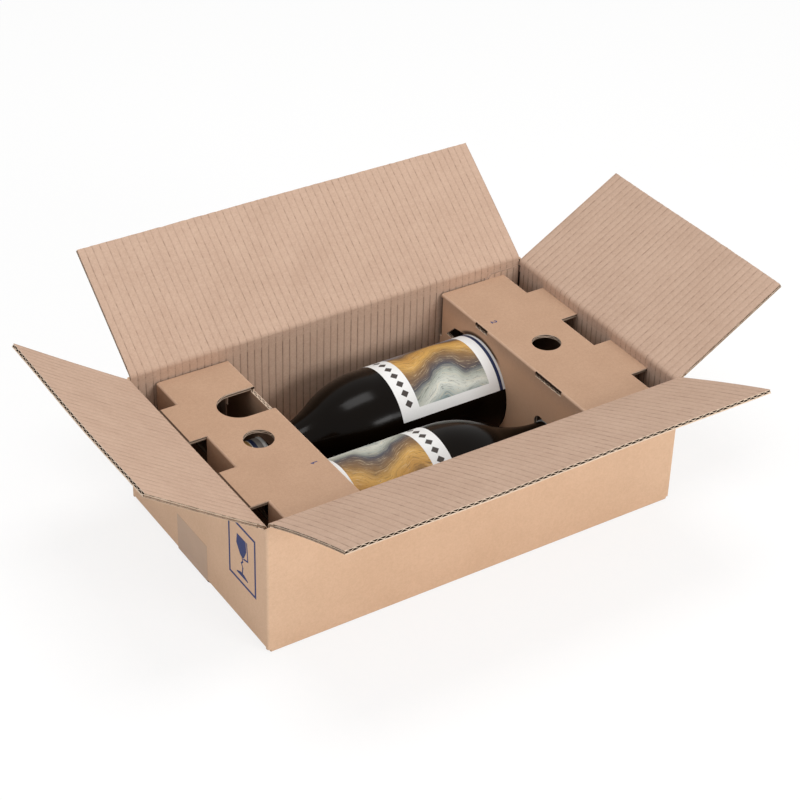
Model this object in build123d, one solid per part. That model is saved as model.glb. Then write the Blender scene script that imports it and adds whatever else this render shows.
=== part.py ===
"""A corrugated bottle shipping box: carton, hinged top flaps, die-cut inserts and two bottles.

Millimetres. X runs along the box, Y across it towards the back, Z up.
The origin is under the middle of the box, on the surface that it stands on.
"""
from build123d import *
import os

# Corrugated board
board = 3.0                    # thickness of the single-wall board
liner = 0.4                    # each flat facing of the board
flute_pitch = 6.42             # distance from one flute crest to the next
flute_web = 0.36               # thickness of the fluted medium
crushed_margin = 5.0           # flattened stretch beside a fold, where no flute is open
fold_radius = 2.0              # outside rounding of a folded edge

# Carton
stack_gap = 0.3                # air between the end flaps and the long flaps when both are closed
fold_gap = 0.3                 # air in the mitred fold between a wall and its flap
layer_gap = 0.1                # air between the two layers of bottom flaps
seam_gap = 1.0                 # where the two long flaps meet, at the top and at the bottom
end_flap_depth = 111.0         # end flaps, from fold to free edge
long_flap_inset = 3.0          # how far a long flap stops short of each end
end_flap_clearance = 0.5       # between an end flap and each long wall
glue_tab_width = 35.0          # tab of the maker's joint, inside the back wall
glue_tab_thickness = 1.5       # the tab's board is crushed flat
glue_tab_chamfer = 6.0         # cut corners of the tab
glue_tab_margin = 2.0          # between the tab and the bottom flaps

# How far the open flaps stand above the horizontal, in degrees
back_flap_angle = 38.9
front_flap_angle = 26.1
left_flap_angle = 33.95
right_flap_angle = 30.6

# Closing tape
tape_thickness = 0.1
tape_width = 48.0
tape_rise = 37.0               # up each end wall
tape_shift = 6.5               # off the seam, towards the back

# Room round the bottles
floor_space = 3.8              # from the bottom flaps to the bottles
middle_space = 12.0            # between the bottles
side_space = 19.4              # from a bottle to the long wall beside it
top_space = 10.9               # from the bottles to the top panels of the inserts
base_space = 29.0              # from the back bottle's base to the outer wall of its insert
back_mouth_space = 0.45        # from the back bottle's cap to the outer wall of its insert
front_mouth_space = 2.0        # from the front bottle's cap to the outer wall of its insert
fold_space = 7.0               # from the top panels of the inserts to the folds of the end flaps

# Inserts
insert_depth = 64.0            # from the wall with the bottle holes to the outer wall
insert_clearance = 0.2         # between an insert and the glue tab or the walls
tab_length = 15.4              # spacer tabs, from the outer wall to their free edge
tab_width = 48.0
left_insert_play = 5.0         # between the left insert's tabs and the end wall
right_insert_play = 0.25       # between the right insert's tabs and the end wall
floor_panel_gap = 0.6          # between the insert's floor panel and its inner wall
finger_hole_radius = 12.0
tongue_width = 34.4            # U-shaped tongue above the neck
tongue_reach = 40.5            # from the inner wall to the tongue's round end
slot_depth = 4.7               # slot at the fold, at the tongue's root
slot_set_back = 0.8            # how far the slot cuts into the rounded fold
base_slot_start = -9.0         # slot at the fold over the bottle's base, from the bottle's axis
base_slot_width = 17.0
side_relief = 2.6              # how far the inner wall's edges are set back, near the top
side_relief_height = 37.0      # of that set-back stretch
base_hole_clearance = 0.3
notch_angles = (55.0, 41.0, 23.5, 27.0)    # corners of the die-cut notch beside the base hole
notch_reaches = (0.8, 8.3, 11.7, 3.0)      # how far each corner lies outside the hole's edge
neck_hole_clearance = 0.8
neck_ear_radius = 7.0          # round bulge in the neck hole
neck_ear_across = 7.5          # from the neck's axis towards the middle
neck_ear_up = 9.5

# Bottles
bottle_length = 294.0
body_radius = 40.8
heel_radius = 6.0
heel_steps = 2                 # facets of the rounded heel, from base to body
shoulder_length = 94.0         # from the body to the neck
shoulder_radius = 90.0         # of the arc that leaves the body; a second arc meets the neck
shoulder_steps = 4             # facets of each arc, from body to neck
neck_length = 62.0             # up to the mouth
neck_radius = 14.2
cap_wall = 0.7
cap_length = 58.4
cap_clearance = 0.1
label_start = 22.5             # from the base, along the axis
label_shoulder_gap = 8.5       # from the label to the shoulder
label_thickness = 0.2
label_clearance = 0.05
label_wrap = 140.0             # degrees round the bottle
back_label_turn = 92.0         # middle of the label, degrees from the bottle's own +Y
front_label_turn = 110.0

overshoot = 1.0                # how far a cutting tool runs past the board

# Sizes that follow from the ones above
underside = tape_thickness
end_floor = underside + board + layer_gap
floor_top = end_floor + board
cell_offset = body_radius + middle_space / 2
bottle_axis_height = floor_top + floor_space + body_radius
shoulder_start = bottle_length - neck_length - shoulder_length
label_length = shoulder_start - label_shoulder_gap - label_start
cap_radius = neck_radius + cap_clearance + cap_wall
insert_height = bottle_axis_height + body_radius + top_space + board - floor_top
insert_reach = insert_depth + tab_length
mouth_to_base = back_mouth_space + bottle_length + base_space
insert_plays = left_insert_play + right_insert_play
carton_length = mouth_to_base + 2 * (board + tab_length + board) + insert_plays
carton_width = 2 * (cell_offset + body_radius + side_space + board)
half_length = carton_length / 2
half_width = carton_width / 2
end_fold = floor_top + insert_height + fold_space
long_fold = end_fold + board + stack_gap
long_flap_depth = half_width - seam_gap / 2
long_flap_length = carton_length - 2 * long_flap_inset
end_flap_length = carton_width - 2 * board - 2 * end_flap_clearance
insert_half_length = half_width - board - glue_tab_thickness - insert_clearance
left_insert_face = -(half_length - board - left_insert_play - insert_reach)
right_insert_face = half_length - board - right_insert_play - insert_reach
back_mouth = left_insert_face - insert_depth + board + back_mouth_space
front_mouth = right_insert_face + insert_depth - board - front_mouth_space


def box_between(low, high):
    """A box from its lowest corner to its highest corner."""
    size = [top - bottom for bottom, top in zip(low, high)]
    return Pos(*low) * Box(*size, align=(Align.MIN, Align.MIN, Align.MIN))


def section(points):
    """A flat face through the given corners."""
    return make_face(Polyline(*points, close=True))


def wall_section(outside, fold, low):
    """A wall's section, mitred at its top fold: first value outwards, second value up."""
    return section([
        (outside, low),
        (outside, fold - fold_gap),
        (outside - board, fold - fold_gap - board),
        (outside - board, low),
    ])


def floor_section(outside, inner_end, low):
    """A closed bottom flap's section with its rounded fold."""
    outline = section([(outside, low + board), (outside, low), (inner_end, low), (inner_end, low + board)])
    corner = outline.vertices().sort_by(Axis.X)[-2:].sort_by(Axis.Y)[0]
    return fillet(corner, fold_radius)


def long_side():
    """The back wall with its bottom flap."""
    wall = Plane.YZ * wall_section(half_width, long_fold, underside + board)
    flap = Plane.YZ * floor_section(half_width, seam_gap / 2, underside)
    wall = Pos(-half_length, 0, 0) * extrude(wall, carton_length, dir=(1, 0, 0))
    flap = Pos(-long_flap_length / 2, 0, 0) * extrude(flap, long_flap_length, dir=(1, 0, 0))
    return wall + flap


def end_side():
    """The right end wall with its bottom flap."""
    wall = Plane.XZ * wall_section(half_length, end_fold, end_floor + board)
    flap = Plane.XZ * floor_section(half_length, half_length - end_flap_depth, end_floor)
    corner = Plane.XZ * floor_section(half_length, half_length - board, end_floor)
    wall = Pos(0, -half_width, 0) * extrude(wall, carton_width, dir=(0, 1, 0))
    flap = Pos(0, -end_flap_length / 2, 0) * extrude(flap, end_flap_length, dir=(0, 1, 0))
    corner = Pos(0, -half_width, 0) * extrude(corner, carton_width, dir=(0, 1, 0))
    return wall + flap + corner


def glue_tab():
    """The tab of the maker's joint: from the right end wall, flat against the inside of the back wall."""
    right = half_length - board
    left = right - glue_tab_width
    low = floor_top + glue_tab_margin
    high = end_fold - board - fold_gap
    inside = half_width - board
    outline = section([
        (right, low),
        (left + glue_tab_chamfer, low),
        (left, low + glue_tab_chamfer),
        (left, high - glue_tab_chamfer),
        (left + glue_tab_chamfer, high),
        (right, high),
    ])
    return Pos(0, inside, 0) * extrude(Plane.XZ * outline, glue_tab_thickness, dir=(0, -1, 0))


def carton_body():
    """Walls, closed bottom flaps and glue tab of the folded sheet, with rounded upright edges."""
    back = long_side()
    right = end_side()
    body = back + mirror(back, Plane.XZ) + right + mirror(right, Plane.YZ) + glue_tab()
    outline = RectangleRounded(carton_length, carton_width, fold_radius)
    return body & extrude(outline, long_fold)


def flute_openings(length):
    """The open flutes in a board's edge: triangles that point up and down in turn."""
    crest = (board - 2 * liner) * (1 - 2 * flute_web / flute_pitch)
    half_base = flute_pitch / 2 - flute_web
    count = int((length - flute_pitch) / flute_pitch)
    start = -count * flute_pitch / 2 + flute_pitch / 4
    openings = []
    low = liner
    high = board - liner
    for index in range(count):
        middle = start + index * flute_pitch
        upright = [(middle - half_base, low), (middle + half_base, low), (middle, low + crest)]
        openings.append(section(upright))
        middle = middle + flute_pitch / 2
        hanging = [(middle - half_base, high), (middle, high - crest), (middle + half_base, high)]
        openings.append(section(hanging))
    return openings


def top_flap(length, depth):
    """A flap lying open and level: fold line on the X axis, free edge towards +Y, inner face up."""
    side = section([
        (fold_gap, 0),
        (depth, 0),
        (depth, board),
        (board + fold_gap, board),
    ])
    sheet = Pos(-length / 2, 0, 0) * extrude(Plane.YZ * side, length, dir=(1, 0, 0))
    root = board + fold_gap + crushed_margin
    faces = Sketch() + flute_openings(length)
    flutes = Pos(0, root, 0) * extrude(Plane.XZ * faces, depth, dir=(0, 1, 0))
    return sheet - flutes


def placed_flap(flap, fold_x, fold_y, fold_z, turn, lift):
    """Turn a level flap to its side of the box, lift it and set its fold line in place."""
    return Pos(fold_x, fold_y, fold_z) * Rot(0, 0, turn) * Rot(lift, 0, 0) * flap


def closing_tape():
    """One strip of tape under the seam and up both end walls."""
    outer = half_length + tape_thickness
    flap_end_x = half_length - long_flap_inset
    strip = section([
        (-outer, tape_rise),
        (-outer, end_floor),
        (-flap_end_x, 0),
        (flap_end_x, 0),
        (outer, end_floor),
        (outer, tape_rise),
        (half_length, tape_rise),
        (half_length, end_floor),
        (flap_end_x, tape_thickness),
        (-flap_end_x, tape_thickness),
        (-half_length, end_floor),
        (-half_length, tape_rise),
    ])
    start = tape_shift - tape_width / 2
    return Pos(0, start, 0) * extrude(Plane.XZ * strip, tape_width, dir=(0, 1, 0))


def insert_tube():
    """The insert's four folded panels as one section carried across the box."""
    outline = section([
        (0, 0),
        (0, insert_height),
        (insert_depth, insert_height),
        (insert_depth, 0),
        (board + floor_panel_gap, 0),
        (board + floor_panel_gap, board),
        (insert_depth - board, board),
        (insert_depth - board, insert_height - board),
        (board, insert_height - board),
        (board, 0),
    ])
    outline = fillet(outline.vertices().group_by(Axis.Y)[-1], fold_radius)
    outline = fillet(outline.vertices().group_by(Axis.X)[-1].sort_by(Axis.Y)[0], fold_radius)
    return Pos(0, -insert_half_length, 0) * extrude(
        Plane.XZ * outline, 2 * insert_half_length, dir=(0, 1, 0)
    )


def fold_slot(start, width):
    """A slot along the fold between the top panel and the inner wall."""
    end = start + width
    low = insert_height - slot_depth
    middle = insert_height - board
    high = insert_height + overshoot
    below = box_between((-overshoot, start, low), (board, end, middle))
    edge = box_between((-overshoot, start, middle), (slot_set_back, end, high))
    return below + edge


def tongue_opening():
    """The U-shaped opening left in the top panel where the tongue over the neck is pressed out."""
    radius = tongue_width / 2
    straight = tongue_reach - radius
    low = insert_height - slot_depth
    high = insert_height + overshoot
    mouth = box_between(
        (-overshoot, -cell_offset - radius, low), (straight, -cell_offset + radius, high)
    )
    end = Pos(straight, -cell_offset, low) * Cylinder(
        radius, high - low, align=(Align.CENTER, Align.CENTER, Align.MIN)
    )
    return mouth + end


def inner_wall_holes():
    """The hole for one bottle's base and the hole for the other one's neck, along X."""
    axis_up = bottle_axis_height - floor_top
    base_radius = body_radius + label_clearance + label_thickness + base_hole_clearance
    corners = [(0, 0)]
    for angle, reach in zip(notch_angles, notch_reaches):
        direction = Vector(base_radius + reach, 0).rotate(Axis.Z, angle)
        corners.append((direction.X, direction.Y))
    base_hole = Pos(cell_offset, axis_up) * (Circle(base_radius) + section(corners))
    neck = Circle(cap_radius + neck_hole_clearance)
    ear = Pos(neck_ear_across, neck_ear_up) * Circle(neck_ear_radius)
    neck_hole = Pos(-cell_offset, axis_up) * (neck + ear)
    holes = Plane.YZ * (base_hole + neck_hole)
    return Pos(-overshoot, 0, 0) * extrude(holes, board + 2 * overshoot, dir=(1, 0, 0))


def end_insert(tongue_out):
    """One insert, seen from the middle of the box: holes at X = 0, spacer tabs at the far side."""
    body = insert_tube()
    for side in (-1, 1):
        low = side * cell_offset - tab_width / 2
        high = side * cell_offset + tab_width / 2
        window = box_between(
            (insert_depth - board - overshoot, low, insert_height - board - tab_length),
            (insert_depth + overshoot, high, insert_height - board),
        )
        tab = box_between(
            (insert_depth - board - fold_radius, low, insert_height - board),
            (insert_reach, high, insert_height),
        )
        edge = side * (insert_half_length - side_relief / 2)
        relief = Pos(board / 2, edge, insert_height - board - side_relief_height / 2) * Box(
            board + 2 * overshoot, side_relief, side_relief_height
        )
        body = body - window - relief + tab
    finger_hole = Pos(insert_depth / 2, 0, insert_height) * Cylinder(
        finger_hole_radius, 2 * (board + overshoot)
    )
    body = body - finger_hole - inner_wall_holes()
    body = body - fold_slot(cell_offset + base_slot_start, base_slot_width)
    body = body - fold_slot(-cell_offset - tongue_width / 2, tongue_width)
    if tongue_out:
        body = body - tongue_opening()
    return body


def stepped(curve, steps):
    """The curve in straight steps, so that the turned solid has few facets."""
    return Polyline(*[curve @ (index / steps) for index in range(steps + 1)])


def bottle_glass():
    """The sealed bottle as one turned solid: base at X = 0, mouth towards +X."""
    end = bottle_length - cap_wall - cap_clearance
    neck_start = bottle_length - neck_length
    drop = body_radius - neck_radius
    share = shoulder_radius * 2 * drop / (shoulder_length**2 + drop**2)
    bend = (shoulder_start + shoulder_length * share, body_radius - drop * share)
    heel = RadiusArc((0, body_radius - heel_radius), (heel_radius, body_radius), heel_radius)
    upper_arc = TangentArc((shoulder_start, body_radius), bend, tangent=(1, 0))
    lower_arc = TangentArc((neck_start, neck_radius), bend, tangent=(-1, 0))
    lines = [
        Line((0, 0), heel @ 0),
        stepped(heel, heel_steps),
        Line(heel @ 1, upper_arc @ 0),
        stepped(upper_arc, shoulder_steps),
        stepped(lower_arc, shoulder_steps),
        Line((neck_start, neck_radius), (end, neck_radius)),
        Line((end, neck_radius), (end, 0)),
        Line((end, 0), (0, 0)),
    ]
    return revolve(make_face(Curve() + lines), Axis.X)


def bottle_cap():
    """The long-skirted cap over the mouth."""
    start = bottle_length - cap_length
    inner = neck_radius + cap_clearance
    end = bottle_length - cap_wall
    outline = section([
        (start, inner),
        (start, cap_radius),
        (bottle_length, cap_radius),
        (bottle_length, 0),
        (end, 0),
        (end, inner),
    ])
    return revolve(outline, Axis.X)


def bottle_label(middle):
    """The paper label round part of the bottle's body."""
    inner = body_radius + label_clearance
    outer = inner + label_thickness
    line = Line((label_start, inner), (label_start + label_length, inner))
    top = Line((label_start, outer), (label_start + label_length, outer))
    band = make_face(Curve() + [
        line,
        Line(line @ 1, top @ 1),
        top,
        Line(top @ 0, line @ 0),
    ])
    # The band starts at +Y, and turning about +X carries it upwards.
    start = Rot(middle - label_wrap / 2, 0, 0) * band
    return revolve(start, Axis.X, label_wrap)


def lying(piece, base_x, side, heading):
    """Lay a bottle's piece down: base at base_x, on the back or front side, mouth towards the heading."""
    turn = 0 if heading > 0 else 180
    return Pos(base_x, side * cell_offset, bottle_axis_height) * Rot(0, 0, turn) * piece


flap_long = top_flap(long_flap_length, long_flap_depth)
flap_end = top_flap(end_flap_length, end_flap_depth)
insert_turn = Rot(0, 0, 180)
back_base = back_mouth + bottle_length
front_base = front_mouth - bottle_length

parts = {
    "carton_body": carton_body(),
    "top_flap_back": placed_flap(flap_long, 0, half_width, long_fold, 0, back_flap_angle),
    "top_flap_front": placed_flap(flap_long, 0, -half_width, long_fold, 180, front_flap_angle),
    "top_flap_left": placed_flap(flap_end, -half_length, 0, end_fold, 90, left_flap_angle),
    "top_flap_right": placed_flap(flap_end, half_length, 0, end_fold, -90, right_flap_angle),
    "closing_tape": closing_tape(),
    "insert_left": Pos(left_insert_face, 0, floor_top) * insert_turn * end_insert(True),
    "insert_right": Pos(right_insert_face, 0, floor_top) * end_insert(False),
    "bottle_back": lying(bottle_glass(), back_base, 1, -1),
    "bottle_front": lying(bottle_glass(), front_base, -1, 1),
    "cap_back": lying(bottle_cap(), back_base, 1, -1),
    "cap_front": lying(bottle_cap(), front_base, -1, 1),
    "label_back": lying(bottle_label(back_label_turn), back_base, 1, -1),
    "label_front": lying(bottle_label(front_label_turn), front_base, -1, 1),
}

os.makedirs("parts", exist_ok=True)
for name, shape in parts.items():
    export_step(shape, f"parts/{name}.step")
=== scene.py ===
"""Looks of an open corrugated shipping box with two bottles lying in folded inserts.

How the surfaces follow from formulas, in words:

- Every flap is a real sandwich: two flat liners and, between them, a medium whose level is half the
  board plus an amplitude times a rounded triangle wave of the way along the fold.
- Every fold between a wall and a flap is a strip: straight up the wall, then an arc about a centre just
  outside the fold, whose radius grows by the depth below the outer face, then straight along the flap.
- Glass, cap and label are turned: a profile of lengths and radii is carried round in equal steps. The
  shoulder is two arcs that meet with one slope.
- Flute lines on the board are the places where the way along the fold, divided by the flute pitch and
  moved a little by noise, is half past a whole number. There the relief has a groove and the colour is
  darkened, as painted shade of the washboard.
"""
import logging
import math
from dataclasses import dataclass, field, replace
from enum import Enum, IntEnum
from typing import ClassVar, Optional, Sequence, Union

import bmesh
import bpy
import numpy as np
from mathutils import Matrix, Vector


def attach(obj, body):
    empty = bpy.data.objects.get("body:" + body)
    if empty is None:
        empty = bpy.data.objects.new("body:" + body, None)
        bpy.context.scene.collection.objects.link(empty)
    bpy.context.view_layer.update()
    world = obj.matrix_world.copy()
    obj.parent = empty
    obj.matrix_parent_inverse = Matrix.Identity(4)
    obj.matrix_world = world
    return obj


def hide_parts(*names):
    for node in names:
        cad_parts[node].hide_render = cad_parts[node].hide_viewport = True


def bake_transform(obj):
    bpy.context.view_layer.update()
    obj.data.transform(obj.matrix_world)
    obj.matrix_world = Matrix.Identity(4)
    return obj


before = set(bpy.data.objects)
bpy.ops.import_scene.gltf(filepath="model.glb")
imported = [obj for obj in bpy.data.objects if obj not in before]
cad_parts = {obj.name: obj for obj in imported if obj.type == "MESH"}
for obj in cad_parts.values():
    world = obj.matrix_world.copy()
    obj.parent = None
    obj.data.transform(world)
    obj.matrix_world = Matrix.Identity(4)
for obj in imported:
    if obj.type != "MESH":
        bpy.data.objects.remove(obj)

log = logging.getLogger("bottle_box")

MM = 0.001
FULL_TURN = 2 * math.pi

Colour = tuple[float, float, float]
Place = tuple[float, float, float]
Outline = tuple[tuple[float, float], ...]
Material = bpy.types.Material
Piece = bpy.types.Object


# Sizes, in millimetres


@dataclass(frozen=True)
class BoardSize:
    """Corrugated board.

    Attributes:
        thickness: outside of one liner to the outside of the other.
        outer: thickness of the outer liner.
        inner: thickness of the inner liner.
        medium: thickness of the fluted sheet.
        pitch: distance between flute crests.
    """

    thickness: float = 3.0
    outer: float = 0.85
    inner: float = 0.36
    medium: float = 0.50
    pitch: float = 6.42


@dataclass(frozen=True)
class BoxSize:
    """The carton.

    Attributes:
        length: outside, along X.
        width: outside, along Y.
        end_fold: height of the end walls' folds.
        long_fold: height of the long walls' folds.
        floor: top of the closed bottom flaps.
        flap_reach: how far the end flaps reach from the end walls.
        flap_inset: how far a long flap stops short of each end wall's outer face.
        end_flap_inset: how far an end flap stops short of each long wall's outer face.
        seam: gap between the two long flaps when they are closed.
        tab_face: place of the glue tab's inner face along Y.
        tab_edge: place of the glue tab's upright edge along X.
        tab_top: height of the glue tab.
    """

    length: float = 371.5
    width: float = 220.0
    end_fold: float = 112.5
    long_fold: float = 115.8
    floor: float = 6.2
    flap_reach: float = 111.0
    flap_inset: float = 3.0
    end_flap_inset: float = 3.5
    seam: float = 1.0
    tab_face: float = 105.5
    tab_edge: float = 147.75
    tab_top: float = 109.2


@dataclass(frozen=True)
class InsertSize:
    """The two end inserts.

    Attributes:
        walls: middles of the boards of the four standing walls, along X.
        top: height of the top panels' upper faces.
        tab_end: place of the left tabs' ends along X.
        middle: half way between the outer walls.
        reach: from there to the outer walls' inner faces.
        hollow_start: from there to the inner walls' faces that look outwards.
        tab: start and end of each tab, from the box's middle along Y.
    """

    walls: tuple[float, ...] = (-160.85, -99.85, 104.6, 165.6)
    top: float = 105.5
    tab_end: float = -177.75
    middle: float = 2.4
    reach: float = 161.0
    hollow_start: float = 103.5
    tab: tuple[float, float] = (22.8, 70.8)


@dataclass(frozen=True)
class BottleSize:
    """One bottle, with lengths counted from its base.

    Attributes:
        length: base to mouth.
        radius: of the body.
        heel: rounding at the base.
        shoulder: where the body ends.
        arc: radius of the shoulder's first arc.
        neck: where the neck starts.
        neck_radius: of the neck.
        cap_start: where the cap's skirt starts.
        cap_radius: of the cap.
        cap_wall: thickness of the cap.
        cap_clearance: between the cap and the glass.
        cap_edge: length and depth of the cap's bevelled top edge.
        cap_groove: depth of the cap's groove, its way from the top, and its width.
        cap_bead: height of the bead, its way from the skirt's end, and its width.
        label_start: base side of the label.
        label_length: along the bottle.
        label_wrap: degrees round the bottle.
        label_faces: of the label's inner and outer face above the glass.
        offset: of the axis from the box's middle.
        height: of the axis.
    """

    length: float = 294.0
    radius: float = 40.8
    heel: float = 6.0
    shoulder: float = 138.0
    arc: float = 90.0
    neck: float = 232.0
    neck_radius: float = 14.2
    cap_start: float = 235.6
    cap_radius: float = 15.0
    cap_wall: float = 0.7
    cap_clearance: float = 0.1
    cap_edge: tuple[float, float] = (0.8, 0.9)
    cap_groove: tuple[float, float, float] = (0.25, 13.0, 0.7)
    cap_bead: tuple[float, float, float] = (0.12, 1.2, 0.8)
    label_start: float = 22.5
    label_length: float = 107.0
    label_wrap: float = 140.0
    label_faces: tuple[float, float] = (0.05, 0.2)
    offset: float = 46.8
    height: float = 50.8


@dataclass(frozen=True)
class Steps:
    """How finely the surfaces are divided.

    Attributes:
        flute: steps from one flute of a flap to the next.
        panel: steps from a flap's fold to its ragged free edge, and across that edge.
        strays: points at which the free edge strays by its own amount.
        side: points along and across the crushed wall in a flap's side.
        fold: steps on the wall, points on the arc and steps on the flap.
        fold_points: points along a fold.
        turn: points round a bottle, with the first one once more at the end.
        arc: points on each arc of a bottle's shoulder.
        heel: points on its heel.
        body: points along its body.
        cap: points along a cap's skirt.
        label: points along and round a label.
    """

    flute: int = 12
    panel: tuple[int, int] = (12, 2)
    strays: int = 120
    side: tuple[int, int] = (90, 4)
    fold: tuple[int, int, int] = (10, 17, 7)
    fold_points: int = 121
    turn: int = 145
    arc: int = 25
    heel: int = 9
    body: int = 12
    cap: int = 160
    label: tuple[int, int] = (60, 72)


BOARD = BoardSize()
BOX = BoxSize()
INSERT = InsertSize()
BOTTLE = BottleSize()
STEPS = Steps()


class Axis(Enum):
    """The direction in which a board's flutes follow one another."""

    X = 0
    Y = 1


# Shader arithmetic


Number = Union["Signal", float]

MIX_COLOUR = 2                       # output of a Mix node that carries its colour
MIX_SHARE, MIX_FIRST, MIX_SECOND = 0, 6, 7      # inputs of a Mix node that mixes colours
COUNTED = 1000.0                     # blotch size on a vector that is already counted in blotches


@dataclass
class Signal:
    """One value or colour in a node tree, with arithmetic.

    Attributes:
        graph: the node tree that it belongs to.
        socket: the output that carries it.
    """

    graph: "Graph"
    socket: bpy.types.NodeSocket

    def __add__(self, other: Number) -> "Signal":
        """The sum."""
        return self.graph.math("ADD", self, other)

    __radd__ = __add__

    def __sub__(self, other: Number) -> "Signal":
        """The difference."""
        return self.graph.math("SUBTRACT", self, other)

    def __rsub__(self, other: Number) -> "Signal":
        """The difference from a number."""
        return self.graph.math("SUBTRACT", other, self)

    def __mul__(self, other: Number) -> "Signal":
        """The product."""
        return self.graph.math("MULTIPLY", self, other)

    __rmul__ = __mul__

    def __truediv__(self, other: Number) -> "Signal":
        """The quotient."""
        return self.graph.math("DIVIDE", self, other)

    def __rtruediv__(self, other: Number) -> "Signal":
        """The quotient of a number by this."""
        return self.graph.math("DIVIDE", other, self)

    def __abs__(self) -> "Signal":
        """The distance from zero."""
        return self.graph.math("ABSOLUTE", self)

    def fraction(self) -> "Signal":
        """The part after the point."""
        return self.graph.math("FRACT", self)

    def floor(self) -> "Signal":
        """The whole part."""
        return self.graph.math("FLOOR", self)

    def sine(self) -> "Signal":
        """The sine."""
        return self.graph.math("SINE", self)

    def most(self, other: Number) -> "Signal":
        """The greater of the two."""
        return self.graph.math("MAXIMUM", self, other)

    def rise(self, low: float, high: float) -> "Signal":
        """0 below low, 1 above high, and a smooth step between."""
        inputs = {"Value": self, "From Min": low, "From Max": high}
        return self.graph.take("MapRange", "Result", {"interpolation_type": "SMOOTHSTEP"}, inputs)

    def fall(self, low: float, high: float) -> "Signal":
        """1 below low, 0 above high, and a smooth step between."""
        return 1.0 - self.rise(low, high)

    def band(self, low: float, high: float, soft: float) -> "Signal":
        """1 between low and high, with soft edges."""
        return self.rise(low - soft, low + soft) * self.fall(high - soft, high + soft)


@dataclass
class Graph:
    """A node tree under construction.

    Attributes:
        tree: the node tree.
    """

    tree: bpy.types.NodeTree

    def node(self, kind: str, settings: Optional[dict] = None,
             inputs: Optional[dict] = None) -> bpy.types.Node:
        """Adds a shader node.

        Args:
            kind: the node's type without its ShaderNode prefix.
            settings: properties, set first, and a ramp's stops as (place, colour) pairs.
            inputs: a signal or plain value for each socket.

        Returns:
            The node.
        """
        made = self.tree.nodes.new("ShaderNode" + kind)
        for key, value in (settings or {}).items():
            if key == "stops":
                self.stops(made.color_ramp.elements, value)
            else:
                setattr(made, key, value)
        for key, value in (inputs or {}).items():
            self.feed(value, made.inputs[key])
        return made

    def stops(self, elements: bpy.types.ColorRampElements, stops: Sequence[tuple[float, Colour]]) -> None:
        """Gives a ramp its colours.

        Args:
            elements: the ramp's elements.
            stops: place and colour of each.
        """
        while len(elements) < len(stops):
            elements.new(0.5)
        for element, (place, colour) in zip(elements, stops):
            element.position = place
            element.color = (*colour, 1.0)

    def feed(self, value: object, socket: bpy.types.NodeSocket) -> None:
        """Feeds a signal or a plain value into a socket.

        Args:
            value: a signal, a number or a colour.
            socket: the input.
        """
        if isinstance(value, Signal):
            self.tree.links.new(value.socket, socket)
        elif isinstance(value, tuple) and socket.type == "RGBA":
            socket.default_value = (*value, 1.0)
        else:
            socket.default_value = value

    def take(self, kind: str, output: object, settings: Optional[dict] = None,
             inputs: Optional[dict] = None) -> Signal:
        """Adds a node and takes one of its outputs.

        Args:
            kind: the node's type without its ShaderNode prefix.
            output: name or number of the output.
            settings: properties, set first.
            inputs: a signal or plain value for each socket.

        Returns:
            The output.
        """
        return Signal(self, self.node(kind, settings, inputs).outputs[output])

    def math(self, operation: str, *values: Number) -> Signal:
        """One arithmetic step.

        Args:
            operation: the Math node's operation.
            *values: its operands.

        Returns:
            The result.
        """
        return self.take("Math", 0, {"operation": operation}, dict(enumerate(values)))

    def mix(self, share: Number, first: object, second: object) -> Signal:
        """Mixes two colours.

        Args:
            share: of the second colour.
            first: colour at 0.
            second: colour at 1.

        Returns:
            The mixed colour.
        """
        inputs = {MIX_SHARE: share, MIX_FIRST: first, MIX_SECOND: second}
        return self.take("Mix", MIX_COLOUR, {"data_type": "RGBA"}, inputs)

    def seen(self) -> Signal:
        """Tells what is seen: 1 for the camera's own rays and for rays in gloss or through glass.

        Returns:
            1 for such rays, otherwise 0.
        """
        path = self.node("LightPath").outputs
        kinds = ("Camera", "Glossy", "Transmission")
        camera, gloss, through = (Signal(self, path[f"Is {kind} Ray"]) for kind in kinds)
        return camera.most(gloss).most(through)


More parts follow.
